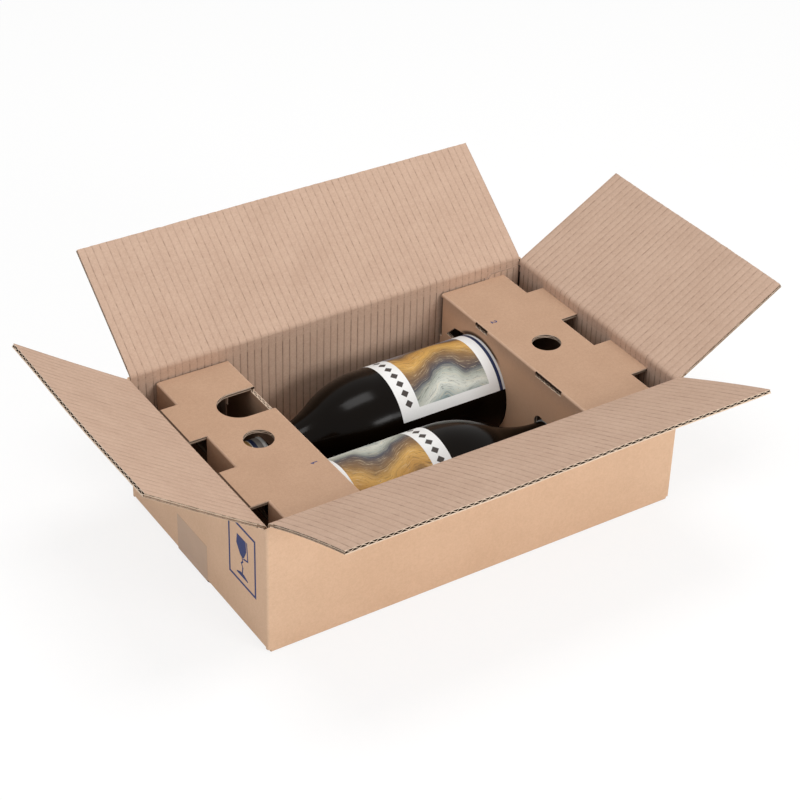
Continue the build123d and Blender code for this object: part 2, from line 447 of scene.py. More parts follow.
class Paint(Graph):
    """A material under construction."""

    def __init__(self, name: str) -> None:
        """Starts a material.

        Args:
            name: of the material.
        """
        self.material = bpy.data.materials.new(name)
        self.material.use_nodes = True
        super().__init__(self.material.node_tree)
        self.shader = self.tree.nodes["Principled BSDF"]

    def combine(self, x: Number, y: Number, z: Number = 0.0) -> Signal:
        """Three numbers as one vector."""
        return self.take("CombineXYZ", 0, inputs={"X": x, "Y": y, "Z": z})

    def split(self, vector: Signal) -> tuple[Signal, ...]:
        """The three numbers of a vector."""
        return tuple(Signal(self, output) for output in self.node("SeparateXYZ", inputs={0: vector}).outputs)

    def place(self) -> Signal:
        """The place on the resting piece as a vector in metres."""
        return self.take("TexCoord", "Object")

    def coordinates(self) -> tuple[Signal, ...]:
        """The place on the resting piece as three distances in millimetres."""
        return tuple(value / MM for value in self.split(self.place()))

    def facing(self) -> tuple[Signal, ...]:
        """How far the face looks along each axis, whichever way."""
        return tuple(abs(value) for value in self.split(self.take("NewGeometry", "True Normal")))

    def unrolled(self) -> tuple[Signal, Signal]:
        """The place on the unrolled surface, in millimetres."""
        across, up, _ = self.split(self.take("UVMap", 0, {"uv_map": "Unrolled"}))
        return across / MM, up / MM

    def noise(self, place: Signal, size: float, detail: float = 2.0, rough: float = 0.5) -> Signal:
        """Smooth noise from 0 to 1.

        Args:
            place: vector.
            size: of a blotch, in thousandths of the vector's unit.
            detail: octaves.
            rough: share that each octave keeps.

        Returns:
            The noise.
        """
        inputs = {"Vector": place, "Scale": 1 / (size * MM), "Detail": detail, "Roughness": rough}
        return self.take("TexNoise", 0, inputs=inputs)

    def chance(self, number: Signal) -> Signal:
        """A random value for each whole number."""
        return self.take("TexWhiteNoise", "Value", {"noise_dimensions": "1D"}, {"W": number})

    def bump(self, height: Signal, depth: float) -> None:
        """Puts relief on the surface.

        Args:
            height: from 0 to 1.
            depth: height of 1, in millimetres.
        """
        relief = self.take("Bump", 0, inputs={"Strength": 1.0, "Distance": depth * MM, "Height": height})
        self.feed(relief, self.shader.inputs["Normal"])

    def set(self, **values: object) -> None:
        """Sets the shader's inputs: underscores in a name stand for spaces."""
        for key, value in values.items():
            self.feed(value, self.shader.inputs[key.replace("_", " ")])


class BoardPaint(Paint):
    """Kraft board: fibres, flute lines and cut edges.

    Attributes:
        stray: how far a flute line strays, as a share of the pitch.
        dash: length of a line's dashes, in millimetres.
        line: where a line's painted shade starts to fade and ends, from its middle, in millimetres.
        shoulder: the same for the soft painted shade of the shoulders beside it.
        shoulder_share: how dark that painted shade of the shoulders is, from 0 to 1.
        wave: how far the flutes of a cut edge swing from the middle of the board, in millimetres.
        paper: where the medium ends and a flute opens, from the middle of the medium, in millimetres.
        liner: where a flute ends and the liner starts, from the middle of the board, in millimetres.
    """

    stray: ClassVar[float] = 0.12
    dash: ClassVar[float] = 7.0
    line: ClassVar[tuple[float, float]] = (0.05, 0.62)
    shoulder: ClassVar[tuple[float, float]] = (0.2, 1.7)
    shoulder_share: ClassVar[float] = 0.10
    wave: ClassVar[float] = 0.85
    paper: ClassVar[tuple[float, float]] = (0.22, 0.42)
    liner: ClassVar[tuple[float, float]] = (0.98, 1.12)

    def fibres(self) -> tuple[Signal, Signal]:
        """Fine fibres, specks and slow clouds, each a noise of its own size, added up.

        Returns:
            How dark the fibres are, and their relief, each from 0 to 1.
        """
        place = self.place()
        fine = self.noise(place, size=1.3, detail=3.0, rough=0.65)
        speck = self.noise(place, size=3.2, detail=2.0, rough=0.6)
        cloud = self.noise(place, size=32.0, detail=3.0, rough=0.55)
        tone = (fine * 0.55 + speck * 0.30 + cloud * 0.35 - 0.1).rise(0.25, 0.75)
        return tone, fine * 0.6 + speck * 0.4

    def flutes(self, along: Signal, across: Signal, broken: float) -> tuple[Signal, Signal]:
        """Flute lines and the swell between them, each from 0 to 1.

        A line lies where the way along the fold, divided by the pitch, is half past a whole number.
        Its darkness, and that of the soft shoulders beside it, is painted shade of the washboard.

        Args:
            along: way along the fold, in millimetres.
            across: way along the flutes, in millimetres.
            broken: how far a line fades between its dashes, from 0 to 1.

        Returns:
            How strongly a line shows, and how high the liner stands.
        """
        turns = along / BOARD.pitch + self.noise(self.place(), size=30.0, detail=1.0) * self.stray
        count = turns.floor()
        nearness = abs(turns.fraction() - 0.5) * BOARD.pitch
        on_line = self.combine(count * 3.7, across / self.dash)
        dashes = self.noise(on_line, COUNTED, detail=2.0, rough=0.6).rise(0.46, 0.66)
        strength = (dashes * broken + (1.0 - broken)) * (self.chance(count) * 0.3 + 0.7)
        shoulders = nearness.fall(*self.shoulder) * self.shoulder_share
        line = (nearness.fall(*self.line) * strength).most(shoulders)
        return line, nearness.rise(0.0, BOARD.pitch / 2)

    def relief(self, fibres: Signal, line: Signal, swell: Signal, share: Number = 1.0) -> Signal:
        """Height of fluted board: some of the fibres and the swell, less a groove at each line.

        Args:
            fibres: their relief.
            line: how strongly a flute line shows.
            swell: how high the liner stands between lines.
            share: of the flutes in it, from 0 to 1.

        Returns:
            The height.
        """
        return fibres * 0.6 + (swell * 0.7 - line * 0.8) * share

    def opening(self, depth: Signal, along: Signal) -> Signal:
        """Where a cut edge opens into a flute: between the liners and clear of a triangle wave.

        Args:
            depth: from the middle of the board, in millimetres.
            along: way along the fold, in millimetres.

        Returns:
            1 inside the flutes.
        """
        wave = (abs((along / BOARD.pitch).fraction() - 0.5) * 4.0 - 1.0) * self.wave
        return abs(depth - wave).rise(*self.paper) * abs(depth).fall(*self.liner)


# Finishes, with colours as linear values


@dataclass(frozen=True)
class BoardFinish:
    """One face of the board.

    Attributes:
        pale: colour of the lighter fibres.
        deep: colour of the darker fibres.
        roughness: of the surface.
        bump: height of the relief, in millimetres.
        line: colour of a flute line, painted shade of the washboard.
        lines: how strongly that painted shade shows, from 0 to 1.
        broken: how far they fade between dashes, from 0 to 1.
        gloss: specular level.
    """

    pale: Colour
    deep: Colour
    roughness: float
    bump: float
    line: Colour = (0.0, 0.0, 0.0)
    lines: float = 0.0
    broken: float = 0.0
    gloss: float = 0.2

    def tint(self, paint: BoardPaint, tone: Signal) -> Signal:
        """The board's colour where its fibres are as dark as tone says."""
        return paint.mix(tone, self.pale, self.deep)

    def dress(self, paint: BoardPaint, colour: Signal, height: Signal) -> Material:
        """Puts colour and relief on the shader.

        Args:
            paint: the material under construction.
            colour: of the board.
            height: of its relief, from 0 to 1.

        Returns:
            The material.
        """
        paint.set(Base_Color=colour, Roughness=self.roughness, Specular_IOR_Level=self.gloss)
        paint.bump(height, self.bump)
        return paint.material

    def material(self, name: str, axis: Axis) -> Material:
        """One face of a flap.

        Args:
            name: of the material.
            axis: direction in which flutes follow one another.

        Returns:
            The material.
        """
        paint = BoardPaint(name)
        tone, height = paint.fibres()
        colour = self.tint(paint, tone)
        if self.lines > 0:
            x, y, z = paint.coordinates()
            along, across = (x, y + z) if axis is Axis.X else (y, x + z)
            line, swell = paint.flutes(along, across, self.broken)
            # Painted shade: the flute lines darken the colour where the washboard's grooves lie.
            colour = paint.mix(line * self.lines, colour, self.line)
            height = paint.relief(height, line, swell)
        return self.dress(paint, colour, height)


INSIDE = BoardFinish(
    pale=(0.580, 0.411, 0.311), deep=(0.478, 0.325, 0.240), roughness=0.92, bump=0.26,
    line=(0.20, 0.125, 0.085), lines=0.70, broken=0.6,
)
# The walls' inner faces get darker, steadier flute lines: stronger painted shade of the washboard.
WALLS = replace(INSIDE, line=(0.10, 0.060, 0.040), lines=0.90, broken=0.25)
OUTSIDE = BoardFinish(pale=(0.708, 0.486, 0.334), deep=(0.625, 0.418, 0.276), roughness=0.84, bump=0.05)
SMOOTH = BoardFinish(pale=(0.515, 0.331, 0.222), deep=(0.437, 0.273, 0.179), roughness=0.88, bump=0.05)
RAW = BoardFinish(pale=(0.76, 0.60, 0.465), deep=(0.62, 0.47, 0.35), roughness=0.95, bump=0.10, gloss=0.0)
# Painted shade: the flutes' inner faces are kraft, painted near black for the shade inside them.
CAVITY = BoardFinish(
    pale=(0.055, 0.026, 0.012), deep=(0.036, 0.017, 0.008), roughness=0.95, bump=0.05, gloss=0.0,
)
# Painted shade: near black for open flutes, narrow gaps and shaded places in the carton and inserts.
HOLLOW: Colour = (0.030, 0.015, 0.008)


@dataclass(frozen=True)
class SideFinish:
    """A cut edge that lies along the flutes: crushed paper, with two broken dark lines beside the medium.

    Attributes:
        raw: finish of the liners' edges.
        crushed: colour of the paper between them.
        hollow: colour of the lines, painted shade in the gaps beside the medium.
    """

    raw: BoardFinish = RAW
    crushed: Colour = (0.20, 0.115, 0.066)
    hollow: Colour = HOLLOW

    def material(self, name: str) -> Material:
        """Dark in runs where the level is near a quarter or three quarters of the thickness.

        Args:
            name: of the material.

        Returns:
            The material.
        """
        paint = BoardPaint(name)
        tone, height = paint.fibres()
        _, level = paint.unrolled()
        from_middle = abs(level / BOARD.thickness - 0.5)
        runs_of_dark = paint.noise(paint.place(), size=5.0, detail=2.0, rough=0.6).rise(0.42, 0.60)
        # Painted shade: two broken dark lines for the gaps beside the medium.
        lines = abs(from_middle - 0.25).fall(0.05, 0.10) * (runs_of_dark * 0.75 + 0.2)
        edge = paint.mix(from_middle.fall(0.22, 0.28) * 0.8, self.raw.tint(paint, tone), self.crushed)
        return self.raw.dress(paint, paint.mix(lines, edge, self.hollow), height)


@dataclass(frozen=True)
class CartonFinish:
    """The carton's walls and floor.

    Attributes:
        inside: finish of the inner faces.
        outside: finish of the outer faces.
        gap: colour of the painted shade in the narrow gap beside the glue tab, round the tab and low in the
            inserts.
        outline: how dark the painted shade line round the glue tab is, from 0 to 1.
        covered: how dark the painted shade on the walls low in the inserts is, from 0 to 1.
        covered_top: height up to which that painted shade is full.
    """

    inside: BoardFinish = WALLS
    outside: BoardFinish = OUTSIDE
    gap: Colour = HOLLOW
    outline: float = 0.6
    covered: float = 0.7
    covered_top: float = 60.0

    def within(self, x: Signal, y: Signal, z: Signal) -> Signal:
        """Tells the inner faces: they lie further in than half the board's thickness.

        Args:
            x: place along the box, in millimetres.
            y: place across the box, in millimetres.
            z: height, in millimetres.

        Returns:
            1 on the inner faces, 0 on the outer ones.
        """
        skin, soft = BOARD.thickness / 2, 0.1
        end, side = BOX.length / 2 - skin, BOX.width / 2 - skin
        above_floor = z.rise(BOX.floor - 0.4, BOX.floor - 0.1)
        return abs(x).fall(end - soft, end + soft) * abs(y).fall(side - soft, side + soft) * above_floor

    def runs_across(self, paint: BoardPaint, x: Signal) -> Signal:
        """Tells where flutes follow one another along Y: on the end walls and on the floor's end flaps.

        Args:
            paint: the material under construction.
            x: place along the box, in millimetres.

        Returns:
            1 there, 0 where they follow one another along X.
        """
        across_x, _, across_z = paint.facing()
        floor_end = BOX.length / 2 - BOX.flap_reach
        on_floor = across_z.rise(0.5, 0.7) * abs(x).rise(floor_end - 0.1, floor_end + 0.1)
        return across_x.rise(0.5, 0.7).most(on_floor)

    def shade(self, x: Signal, y: Signal, z: Signal) -> Signal:
        """Dark places: the corner beside the glue tab, the line round the tab, and low in the inserts.

        Args:
            x: place along the box, in millimetres.
            y: place across the box, in millimetres.
            z: height, in millimetres.

        Returns:
            How dark, from 0 to 1.
        """
        # Painted shade: a dark gap in the corner beside the glue tab, a dark line round the tab, and the
        # walls low in the inserts.
        corner_x, corner_y = BOX.length / 2 - BOARD.thickness, BOX.tab_face
        gap = x.rise(corner_x - 1.6, corner_x - 1.1) * y.rise(corner_y - 1.4, corner_y - 0.9)
        beside = x.band(BOX.tab_edge - 0.9, BOX.tab_edge, 0.1) * z.fall(BOX.tab_top, BOX.tab_top + 0.2)
        above = z.band(BOX.tab_top, BOX.tab_top + 0.8, 0.1) * x.rise(BOX.tab_edge - 1.0, BOX.tab_edge - 0.8)
        outline = beside.most(above) * y.rise(corner_y - 0.4, corner_y - 0.2)
        in_insert = abs(x - INSERT.middle).band(INSERT.hollow_start, INSERT.reach, 1.0)
        covered = in_insert * z.fall(self.covered_top, INSERT.top - BOARD.thickness)
        return gap.most(outline * self.outline).most(covered * self.covered)

    def material(self) -> Material:
        """Flute lines inside, following the way round the box, and plain board outside.

        Returns:
            The material.
        """
        paint = BoardPaint("carton_board")
        x, y, z = paint.coordinates()
        inside = self.within(x, y, z)
        along = x + (y - x) * self.runs_across(paint, x)
        line, swell = paint.flutes(along, x + y + z - along, self.inside.broken)
        tone, height = paint.fibres()
        # Painted shade: flute lines darken the inner faces where the washboard's grooves lie.
        fluted = paint.mix(line * self.inside.lines, self.inside.tint(paint, tone), self.inside.line)
        colour = paint.mix(inside, self.outside.tint(paint, tone), fluted)
        # Painted shade over the inner faces, in the gap's near black.
        colour = paint.mix(self.shade(x, y, z) * inside, colour, self.gap)
        return self.inside.dress(paint, colour, paint.relief(height, line, swell, inside))


@dataclass(frozen=True)
class InsertFinish:
    """The inserts' board.

    Attributes:
        face: finish of the faces.
        raw: finish of the cut edges.
        fold: paler colour on the rounded folds.
        bounce_light: colour of painted bounce light, which the walls beside the bottles lean to where board
            lights board.
        hollow: near black of the painted shade inside open flutes and in shaded places.
        base_wall: where the wall round the back bottle's base faces it, along X.
        clearance: squares of the radii between which the painted shade of the gap round that base lies.
        base_top: heights between which the painted shade in that gap fades in.
        inner_top: height up to which the hollow of an insert is fully painted with shade.
    """

    face: BoardFinish = SMOOTH
    raw: BoardFinish = RAW
    fold: Colour = (0.66, 0.46, 0.33)
    bounce_light: Colour = (0.72, 0.42, 0.25)
    hollow: Colour = HOLLOW
    base_wall: float = 103.1
    clearance: tuple[float, float] = (1850.0, 2060.0)
    base_top: tuple[float, float] = (82.0, 88.0)
    inner_top: float = 70.0

    def walls(self, x: Signal) -> tuple[Number, Number, Number]:
        """Where the four standing walls are.

        Args:
            x: place along the box, in millimetres.

        Returns:
            1 in a wall's board, 1 in its outermost half millimetre, and the depth from its middle.
        """
        half = BOARD.thickness / 2
        in_wall: Number = 0.0
        on_wall: Number = 0.0
        depth: Number = 0.0
        for wall in INSERT.walls:
            distance = x - wall
            near = abs(distance).fall(half, half + 0.15)
            in_wall = in_wall + near
            on_wall = on_wall + near * abs(distance).rise(half - 0.5, half - 0.4)
            depth = depth + distance * near
        return in_wall, on_wall, depth

    def shade(self, x: Signal, y: Signal, z: Signal) -> Signal:
        """Dark places: the left tabs' ends, under the tabs, in the hollow and round the back bottle's base.

        Args:
            x: place along the box, in millimetres.
            y: place across the box, in millimetres.
            z: height, in millimetres.

        Returns:
            How dark, from 0 to 1.
        """
        # Painted shade: a dark line at the left tabs' ends, the room under the tabs, the hollow of each
        # insert, and the gap round the back bottle's base.
        top, underside = INSERT.top, INSERT.top - BOARD.thickness
        from_middle = abs(x - INSERT.middle)
        tab_ends = x.fall(INSERT.tab_end + 1.2, INSERT.tab_end + 1.5) * z.rise(top - 0.3, top - 0.1)
        under_tab = from_middle.rise(INSERT.reach + 2.6, INSERT.reach + 3.2) * abs(y).band(*INSERT.tab, 0.4)
        under_tab = under_tab * z.fall(underside - 1.5, underside)
        hollow = from_middle.band(INSERT.hollow_start, INSERT.reach + 0.3, 0.3)
        hollow = hollow * z.fall(self.inner_top, underside)
        off_axis, above_axis = y - BOTTLE.offset, z - BOTTLE.height
        spread = off_axis * off_axis + above_axis * above_axis
        round_base = x.band(self.base_wall - 0.4, self.base_wall + 0.4, 0.1) * spread.fall(*self.clearance)
        round_base = round_base * z.rise(*self.base_top)
        return tab_ends.most(under_tab).most(hollow * 0.6).most(round_base) * 0.9

    def cuts(self, paint: BoardPaint, place: tuple[Signal, ...],
             facing: tuple[Signal, ...]) -> tuple[Signal, Signal]:
        """Cut edges: faces that cross the top panels or a standing wall from one liner to the other.

        Args:
            paint: the material under construction.
            place: along, across and up, in millimetres.
            facing: how far the face looks along each axis.

        Returns:
            1 on a cut edge, and how far it is painted with shade, where a flute opens, beyond the outer
            walls and in the slots.
        """
        x, y, z = place
        across_x, _, across_z = facing
        half = BOARD.thickness / 2
        middle = INSERT.top - half
        in_top = z.rise(middle - half, middle - half + 0.1)
        in_wall, on_wall, wall_depth = self.walls(x)
        cut_top = in_top * across_z.fall(0.15, 0.3) * (1.0 - on_wall * across_x.rise(0.5, 0.7))
        cut_wall = in_wall * across_x.fall(0.15, 0.3) * (1.0 - in_top)
        depth = (z - middle) * in_top + wall_depth * (1.0 - in_top)
        # Painted shade on the cut edges beyond the outer walls and in the slots at the folds.
        beyond = abs(x - INSERT.middle).rise(INSERT.reach, INSERT.reach + 0.5) * z.fall(middle - half, middle)
        in_slot = in_wall * z.fall(INSERT.top - 1.0, INSERT.top - 0.6) * in_top
        dark = (paint.opening(depth, y) * 0.8).most(beyond * 0.9).most(in_slot)
        return cut_top.most(cut_wall), dark

    def material(self) -> Material:
        """Smooth faces, paler folds, and open flutes wherever a face crosses the board's thickness.

        Returns:
            The material.
        """
        paint = BoardPaint("insert_board")
        x, y, z = place = paint.coordinates()
        across_x, _, across_z = facing = paint.facing()
        tone, height = paint.fibres()
        by_bottles = abs(x - INSERT.middle).fall(INSERT.hollow_start - 2.0, INSERT.hollow_start - 1.0)
        # Painted bounce light on the walls beside the bottles, fading out towards the top.
        bounce_light = by_bottles * z.fall(88.0, INSERT.top) * 0.5
        bent = across_x.rise(0.15, 0.4) * across_z.rise(0.15, 0.4) * 0.45
        face = paint.mix(bent, paint.mix(bounce_light, self.face.tint(paint, tone), self.bounce_light), self.fold)
        cut, dark = self.cuts(paint, place, facing)
        raw = paint.mix(dark, self.raw.tint(paint, tone), self.hollow)
        # Painted shade over faces and cut edges, in the hollow colour.
        colour = paint.mix(self.shade(x, y, z), paint.mix(cut, face, raw), self.hollow)
        return self.face.dress(paint, colour, height)


@dataclass(frozen=True)
class GlassFinish:
    """Dark bottle glass, filled: nearly black, with a soft gloss.

    Attributes:
        thin: colour of one blotch.
        thick: colour of another.
        gloss: specular level.
        roughness: least and most.
    """

    thin: Colour = (0.0055, 0.0028, 0.0010)
    thick: Colour = (0.0020, 0.0011, 0.0005)
    gloss: float = 0.085
    roughness: tuple[float, float] = (0.13, 0.21)

    def material(self) -> Material:
        """Slow blotches in colour and gloss.

        Returns:
            The material.
        """
        paint = Paint("dark_glass")
        place = paint.place()
        low, high = self.roughness
        colour = paint.mix(paint.noise(place, size=60.0), self.thick, self.thin)
        roughness = paint.noise(place, size=35.0) * (high - low) + low
        paint.set(Base_Color=colour, Roughness=roughness, Specular_IOR_Level=self.gloss)
        return paint.material


@dataclass(frozen=True)
class CapFinish:
    """The cap's printed metal.

    Attributes:
        body: colour of the cap.
        bands: start, end and colour of each printed band, counted from the skirt's end.
        soft: how softly a band ends, in millimetres.
    """

    body: Colour = (0.30, 0.165, 0.05)
    bands: tuple[tuple[float, float, Colour], ...] = (
        (-1.0, 3.4, (0.62, 0.62, 0.60)),
        (3.4, 8.0, (0.24, 0.22, 0.20)),
        (8.0, 11.6, (0.012, 0.020, 0.060)),
        (11.6, 12.3, (0.50, 0.48, 0.44)),
    )
    soft: float = 0.12

    def material(self) -> Material:
        """Each band is 1 between its start and its end.

        Returns:
            The material.
        """
        paint = Paint("cap_metal")
        along, _ = paint.unrolled()
        colour: object = self.body
        for low, high, band in self.bands:
            colour = paint.mix(along.band(low, high, self.soft), colour, band)
        roughness = paint.noise(paint.place(), size=6.0) * 0.1 + 0.28
        paint.set(Base_Color=colour, Roughness=roughness, Metallic=0.35)
        return paint.material


@dataclass(frozen=True)
class LabelFinish:
    """A plain paper label: a marbled panel in a wide margin, a row of lozenges and one dark rule.

    Places are counted in millimetres, along the bottle from the label's base side and round it from
    the label's first edge.

    Attributes:
        paper: pale and deep colour of the paper.
        ink: colour of the rule.
        dark: colour of the lozenges and the dark veins.
        light: colour of the light veins.
        margin: grey of the painted shade on the strip between the base side and the rule.
        rule: start and end of the rule along the bottle.
        panel_along: start and end of the marbled panel along the bottle.
        panel_round: start and end of the panel round the bottle.
        row: place of the lozenges along the bottle.
        row_round: start and end of their row round the bottle.
        row_step: from one lozenge to the next.
        layers: place in the marbling and colour of each layer.
        depth: way through all the layers.
    """

    paper: tuple[Colour, Colour] = ((0.86, 0.855, 0.84), (0.76, 0.755, 0.74))
    ink: Colour = (0.018, 0.026, 0.075)
    dark: Colour = (0.045, 0.035, 0.030)
    light: Colour = (0.66, 0.55, 0.36)
    margin: Colour = (0.42, 0.42, 0.43)
    rule: tuple[float, float] = (11.4, 14.4)
    panel_along: tuple[float, float] = (23.0, 90.0)
    panel_round: tuple[float, float] = (8.5, 97.0)
    row: float = 98.0
    row_round: tuple[float, float] = (9.0, 90.0)
    row_step: float = 9.0
    layers: tuple[tuple[float, Colour], ...] = (
        (0.00, (0.09, 0.13, 0.15)),
        (0.13, (0.22, 0.29, 0.29)),
        (0.20, (0.66, 0.67, 0.60)),
        (0.27, (0.36, 0.38, 0.33)),
        (0.33, (0.055, 0.055, 0.070)),
        (0.42, (0.22, 0.12, 0.045)),
        (0.50, (0.60, 0.34, 0.085)),
        (0.58, (0.50, 0.26, 0.06)),
        (0.63, (0.13, 0.075, 0.04)),
        (0.70, (0.25, 0.27, 0.33)),
        (0.79, (0.62, 0.63, 0.62)),
        (0.87, (0.30, 0.23, 0.20)),
        (1.00, (0.50, 0.47, 0.48)),
    )
    depth: float = 128.0

    def marbling(self, paint: Paint, along: Signal, around: Signal) -> Signal:
        """Layers follow the way round the bottle, moved by two sines and by noise, with fine veins.

        Args:
            paint: the material under construction.
            along: place along the bottle.
            around: place round the bottle.

        Returns:
            The colour.
        """
        warp = paint.noise(paint.combine(along / 34.0, around / 34.0), COUNTED) * 26.0
        waves = (along / 15.0 + 1.1).sine() * 7.0 + (along / 6.3 + around / 19.0).sine() * 2.2
        level = around + waves + warp
        colour = paint.take("ValToRGB", 0, {"stops": self.layers}, {0: (level + 2.0) / self.depth})
        veins = paint.noise(paint.combine(along / 12.0, level / 1.3), COUNTED, detail=5.0, rough=0.7)
        dabs = paint.noise(paint.combine(along / 3.5, level / 0.9, 5.0), COUNTED, detail=3.0, rough=0.6)
        colour = paint.mix(veins.rise(0.52, 0.70) * 0.60, colour, self.light)
        colour = paint.mix(veins.fall(0.30, 0.48) * 0.70, colour, self.dark)
        return paint.mix(dabs.rise(0.58, 0.68) * 0.5, colour, self.dark)

    def lozenges(self, along: Signal, around: Signal) -> Signal:
        """A lozenge is where the shares of its half width and its half height add up to less than 1.

        Args:
            along: place along the bottle.
            around: place round the bottle.

        Returns:
            1 on the lozenges.
        """
        beside = abs((around / self.row_step).fraction() - 0.5) * 2.6
        shares = abs(along - self.row) / 3.6 + beside
        return shares.fall(0.96, 1.04) * around.band(*self.row_round, 0.1)

    def material(self) -> Material:
        """Paper, with the panel, the lozenges, the rule and the grey strip on it.

        Returns:
            The material.
        """
        paint = Paint("label_paper")
        along, around = paint.unrolled()
        grain = paint.noise(paint.place(), size=0.8)
        panel = along.band(*self.panel_along, 0.15) * around.band(*self.panel_round, 0.15)
        colour = paint.mix(panel, paint.mix(grain, *self.paper), self.marbling(paint, along, around))
        colour = paint.mix(self.lozenges(along, around), colour, self.dark)
        colour = paint.mix(along.band(*self.rule, 0.1), colour, self.ink)
        # Painted shade: a grey over the strip between the base side and the rule.
        colour = paint.mix(along.band(-1.0, self.rule[0], 0.1) * 0.35, colour, self.margin)
        paint.set(Base_Color=colour, Roughness=0.5, Specular_IOR_Level=0.3)
        paint.bump(grain, 0.02)
        return paint.material


@dataclass(frozen=True)
class TapeFinish:
    """Clear parcel tape: the board shows through, a little darker and with a soft gloss.

    Attributes:
        pale: lighter colour.
        deep: darker colour.
    """

    pale: Colour = (0.520, 0.355, 0.245)
    deep: Colour = (0.465, 0.312, 0.212)

    def material(self) -> Material:
        """Slow blotches in colour, gloss and height.

        Returns:
            The material.
        """
        paint = Paint("tape")
        place = paint.place()
        colour = paint.mix(paint.noise(place, size=18.0, detail=3.0), self.pale, self.deep)
        roughness = paint.noise(place, size=5.0) * 0.15 + 0.36
        paint.set(Base_Color=colour, Roughness=roughness, Specular_IOR_Level=0.22)
        paint.bump(paint.noise(place, size=9.0), 0.08)
        return paint.material


@dataclass(frozen=True)
class InkFinish:
    """Dark blue printing ink that has soaked into the board.

    Attributes:
        full: colour of a solid print.
        worn: colour where the board shows through.
    """

    full: Colour = (0.034, 0.045, 0.140)
    worn: Colour = (0.20, 0.16, 0.17)

    def material(self) -> Material:
        """Worn where fine noise is high.

        Returns:
            The material.
        """
        paint = Paint("ink")
        worn = paint.noise(paint.place(), size=1.4, detail=3.0, rough=0.7).rise(0.60, 0.80)
        paint.set(Base_Color=paint.mix(worn, self.full, self.worn), Roughness=0.85)
        return paint.material


@dataclass(frozen=True)
class FloorFinish:
    """A pale floor that is white to the eye and keeps a soft shadow.

    Attributes:
        colour: as other surfaces are lit by it.
        glow: share of white that the eye sees in any light.
    """

    colour: Colour = (0.93, 0.93, 0.93)
    glow: float = 0.80

    def material(self) -> Material:
        """Where it is seen, a glow plus a weaker plain colour; elsewhere the plain colour.

        Returns:
            The material.
        """
        paint = Paint("floor")
        paint.set(Base_Color=self.colour, Roughness=0.9)
        rest = 1.0 - self.glow
        glow = paint.take("Emission", 0, inputs={"Color": (1.0, 1.0, 1.0), "Strength": self.glow})
        plain = paint.take("BsdfDiffuse", 0, inputs={"Color": (rest, rest, rest)})
        both = paint.take("AddShader", 0, inputs={0: glow, 1: plain})
        lit = Signal(paint, paint.shader.outputs[0])
        shown = paint.take("MixShader", 0, inputs={0: paint.seen(), 1: lit, 2: both})
        paint.feed(shown, paint.tree.nodes["Material Output"].inputs["Surface"])
        return paint.material


# Meshes


def put_in_scene(name: str, data: bpy.types.ID) -> Piece:
    """Adds an object to the scene.

    Args:
        name: of the object.
        data: its mesh, lamp or camera.

    Returns:
        The object.
    """
    made = bpy.data.objects.new(name, data)
    bpy.context.collection.objects.link(made)
    return made


class Slot(IntEnum):
    """The materials of a flap, in the order of their slots."""

    OUTSIDE = 0
    INSIDE = 1
    RAW = 2
    CAVITY = 3
    SIDE = 4


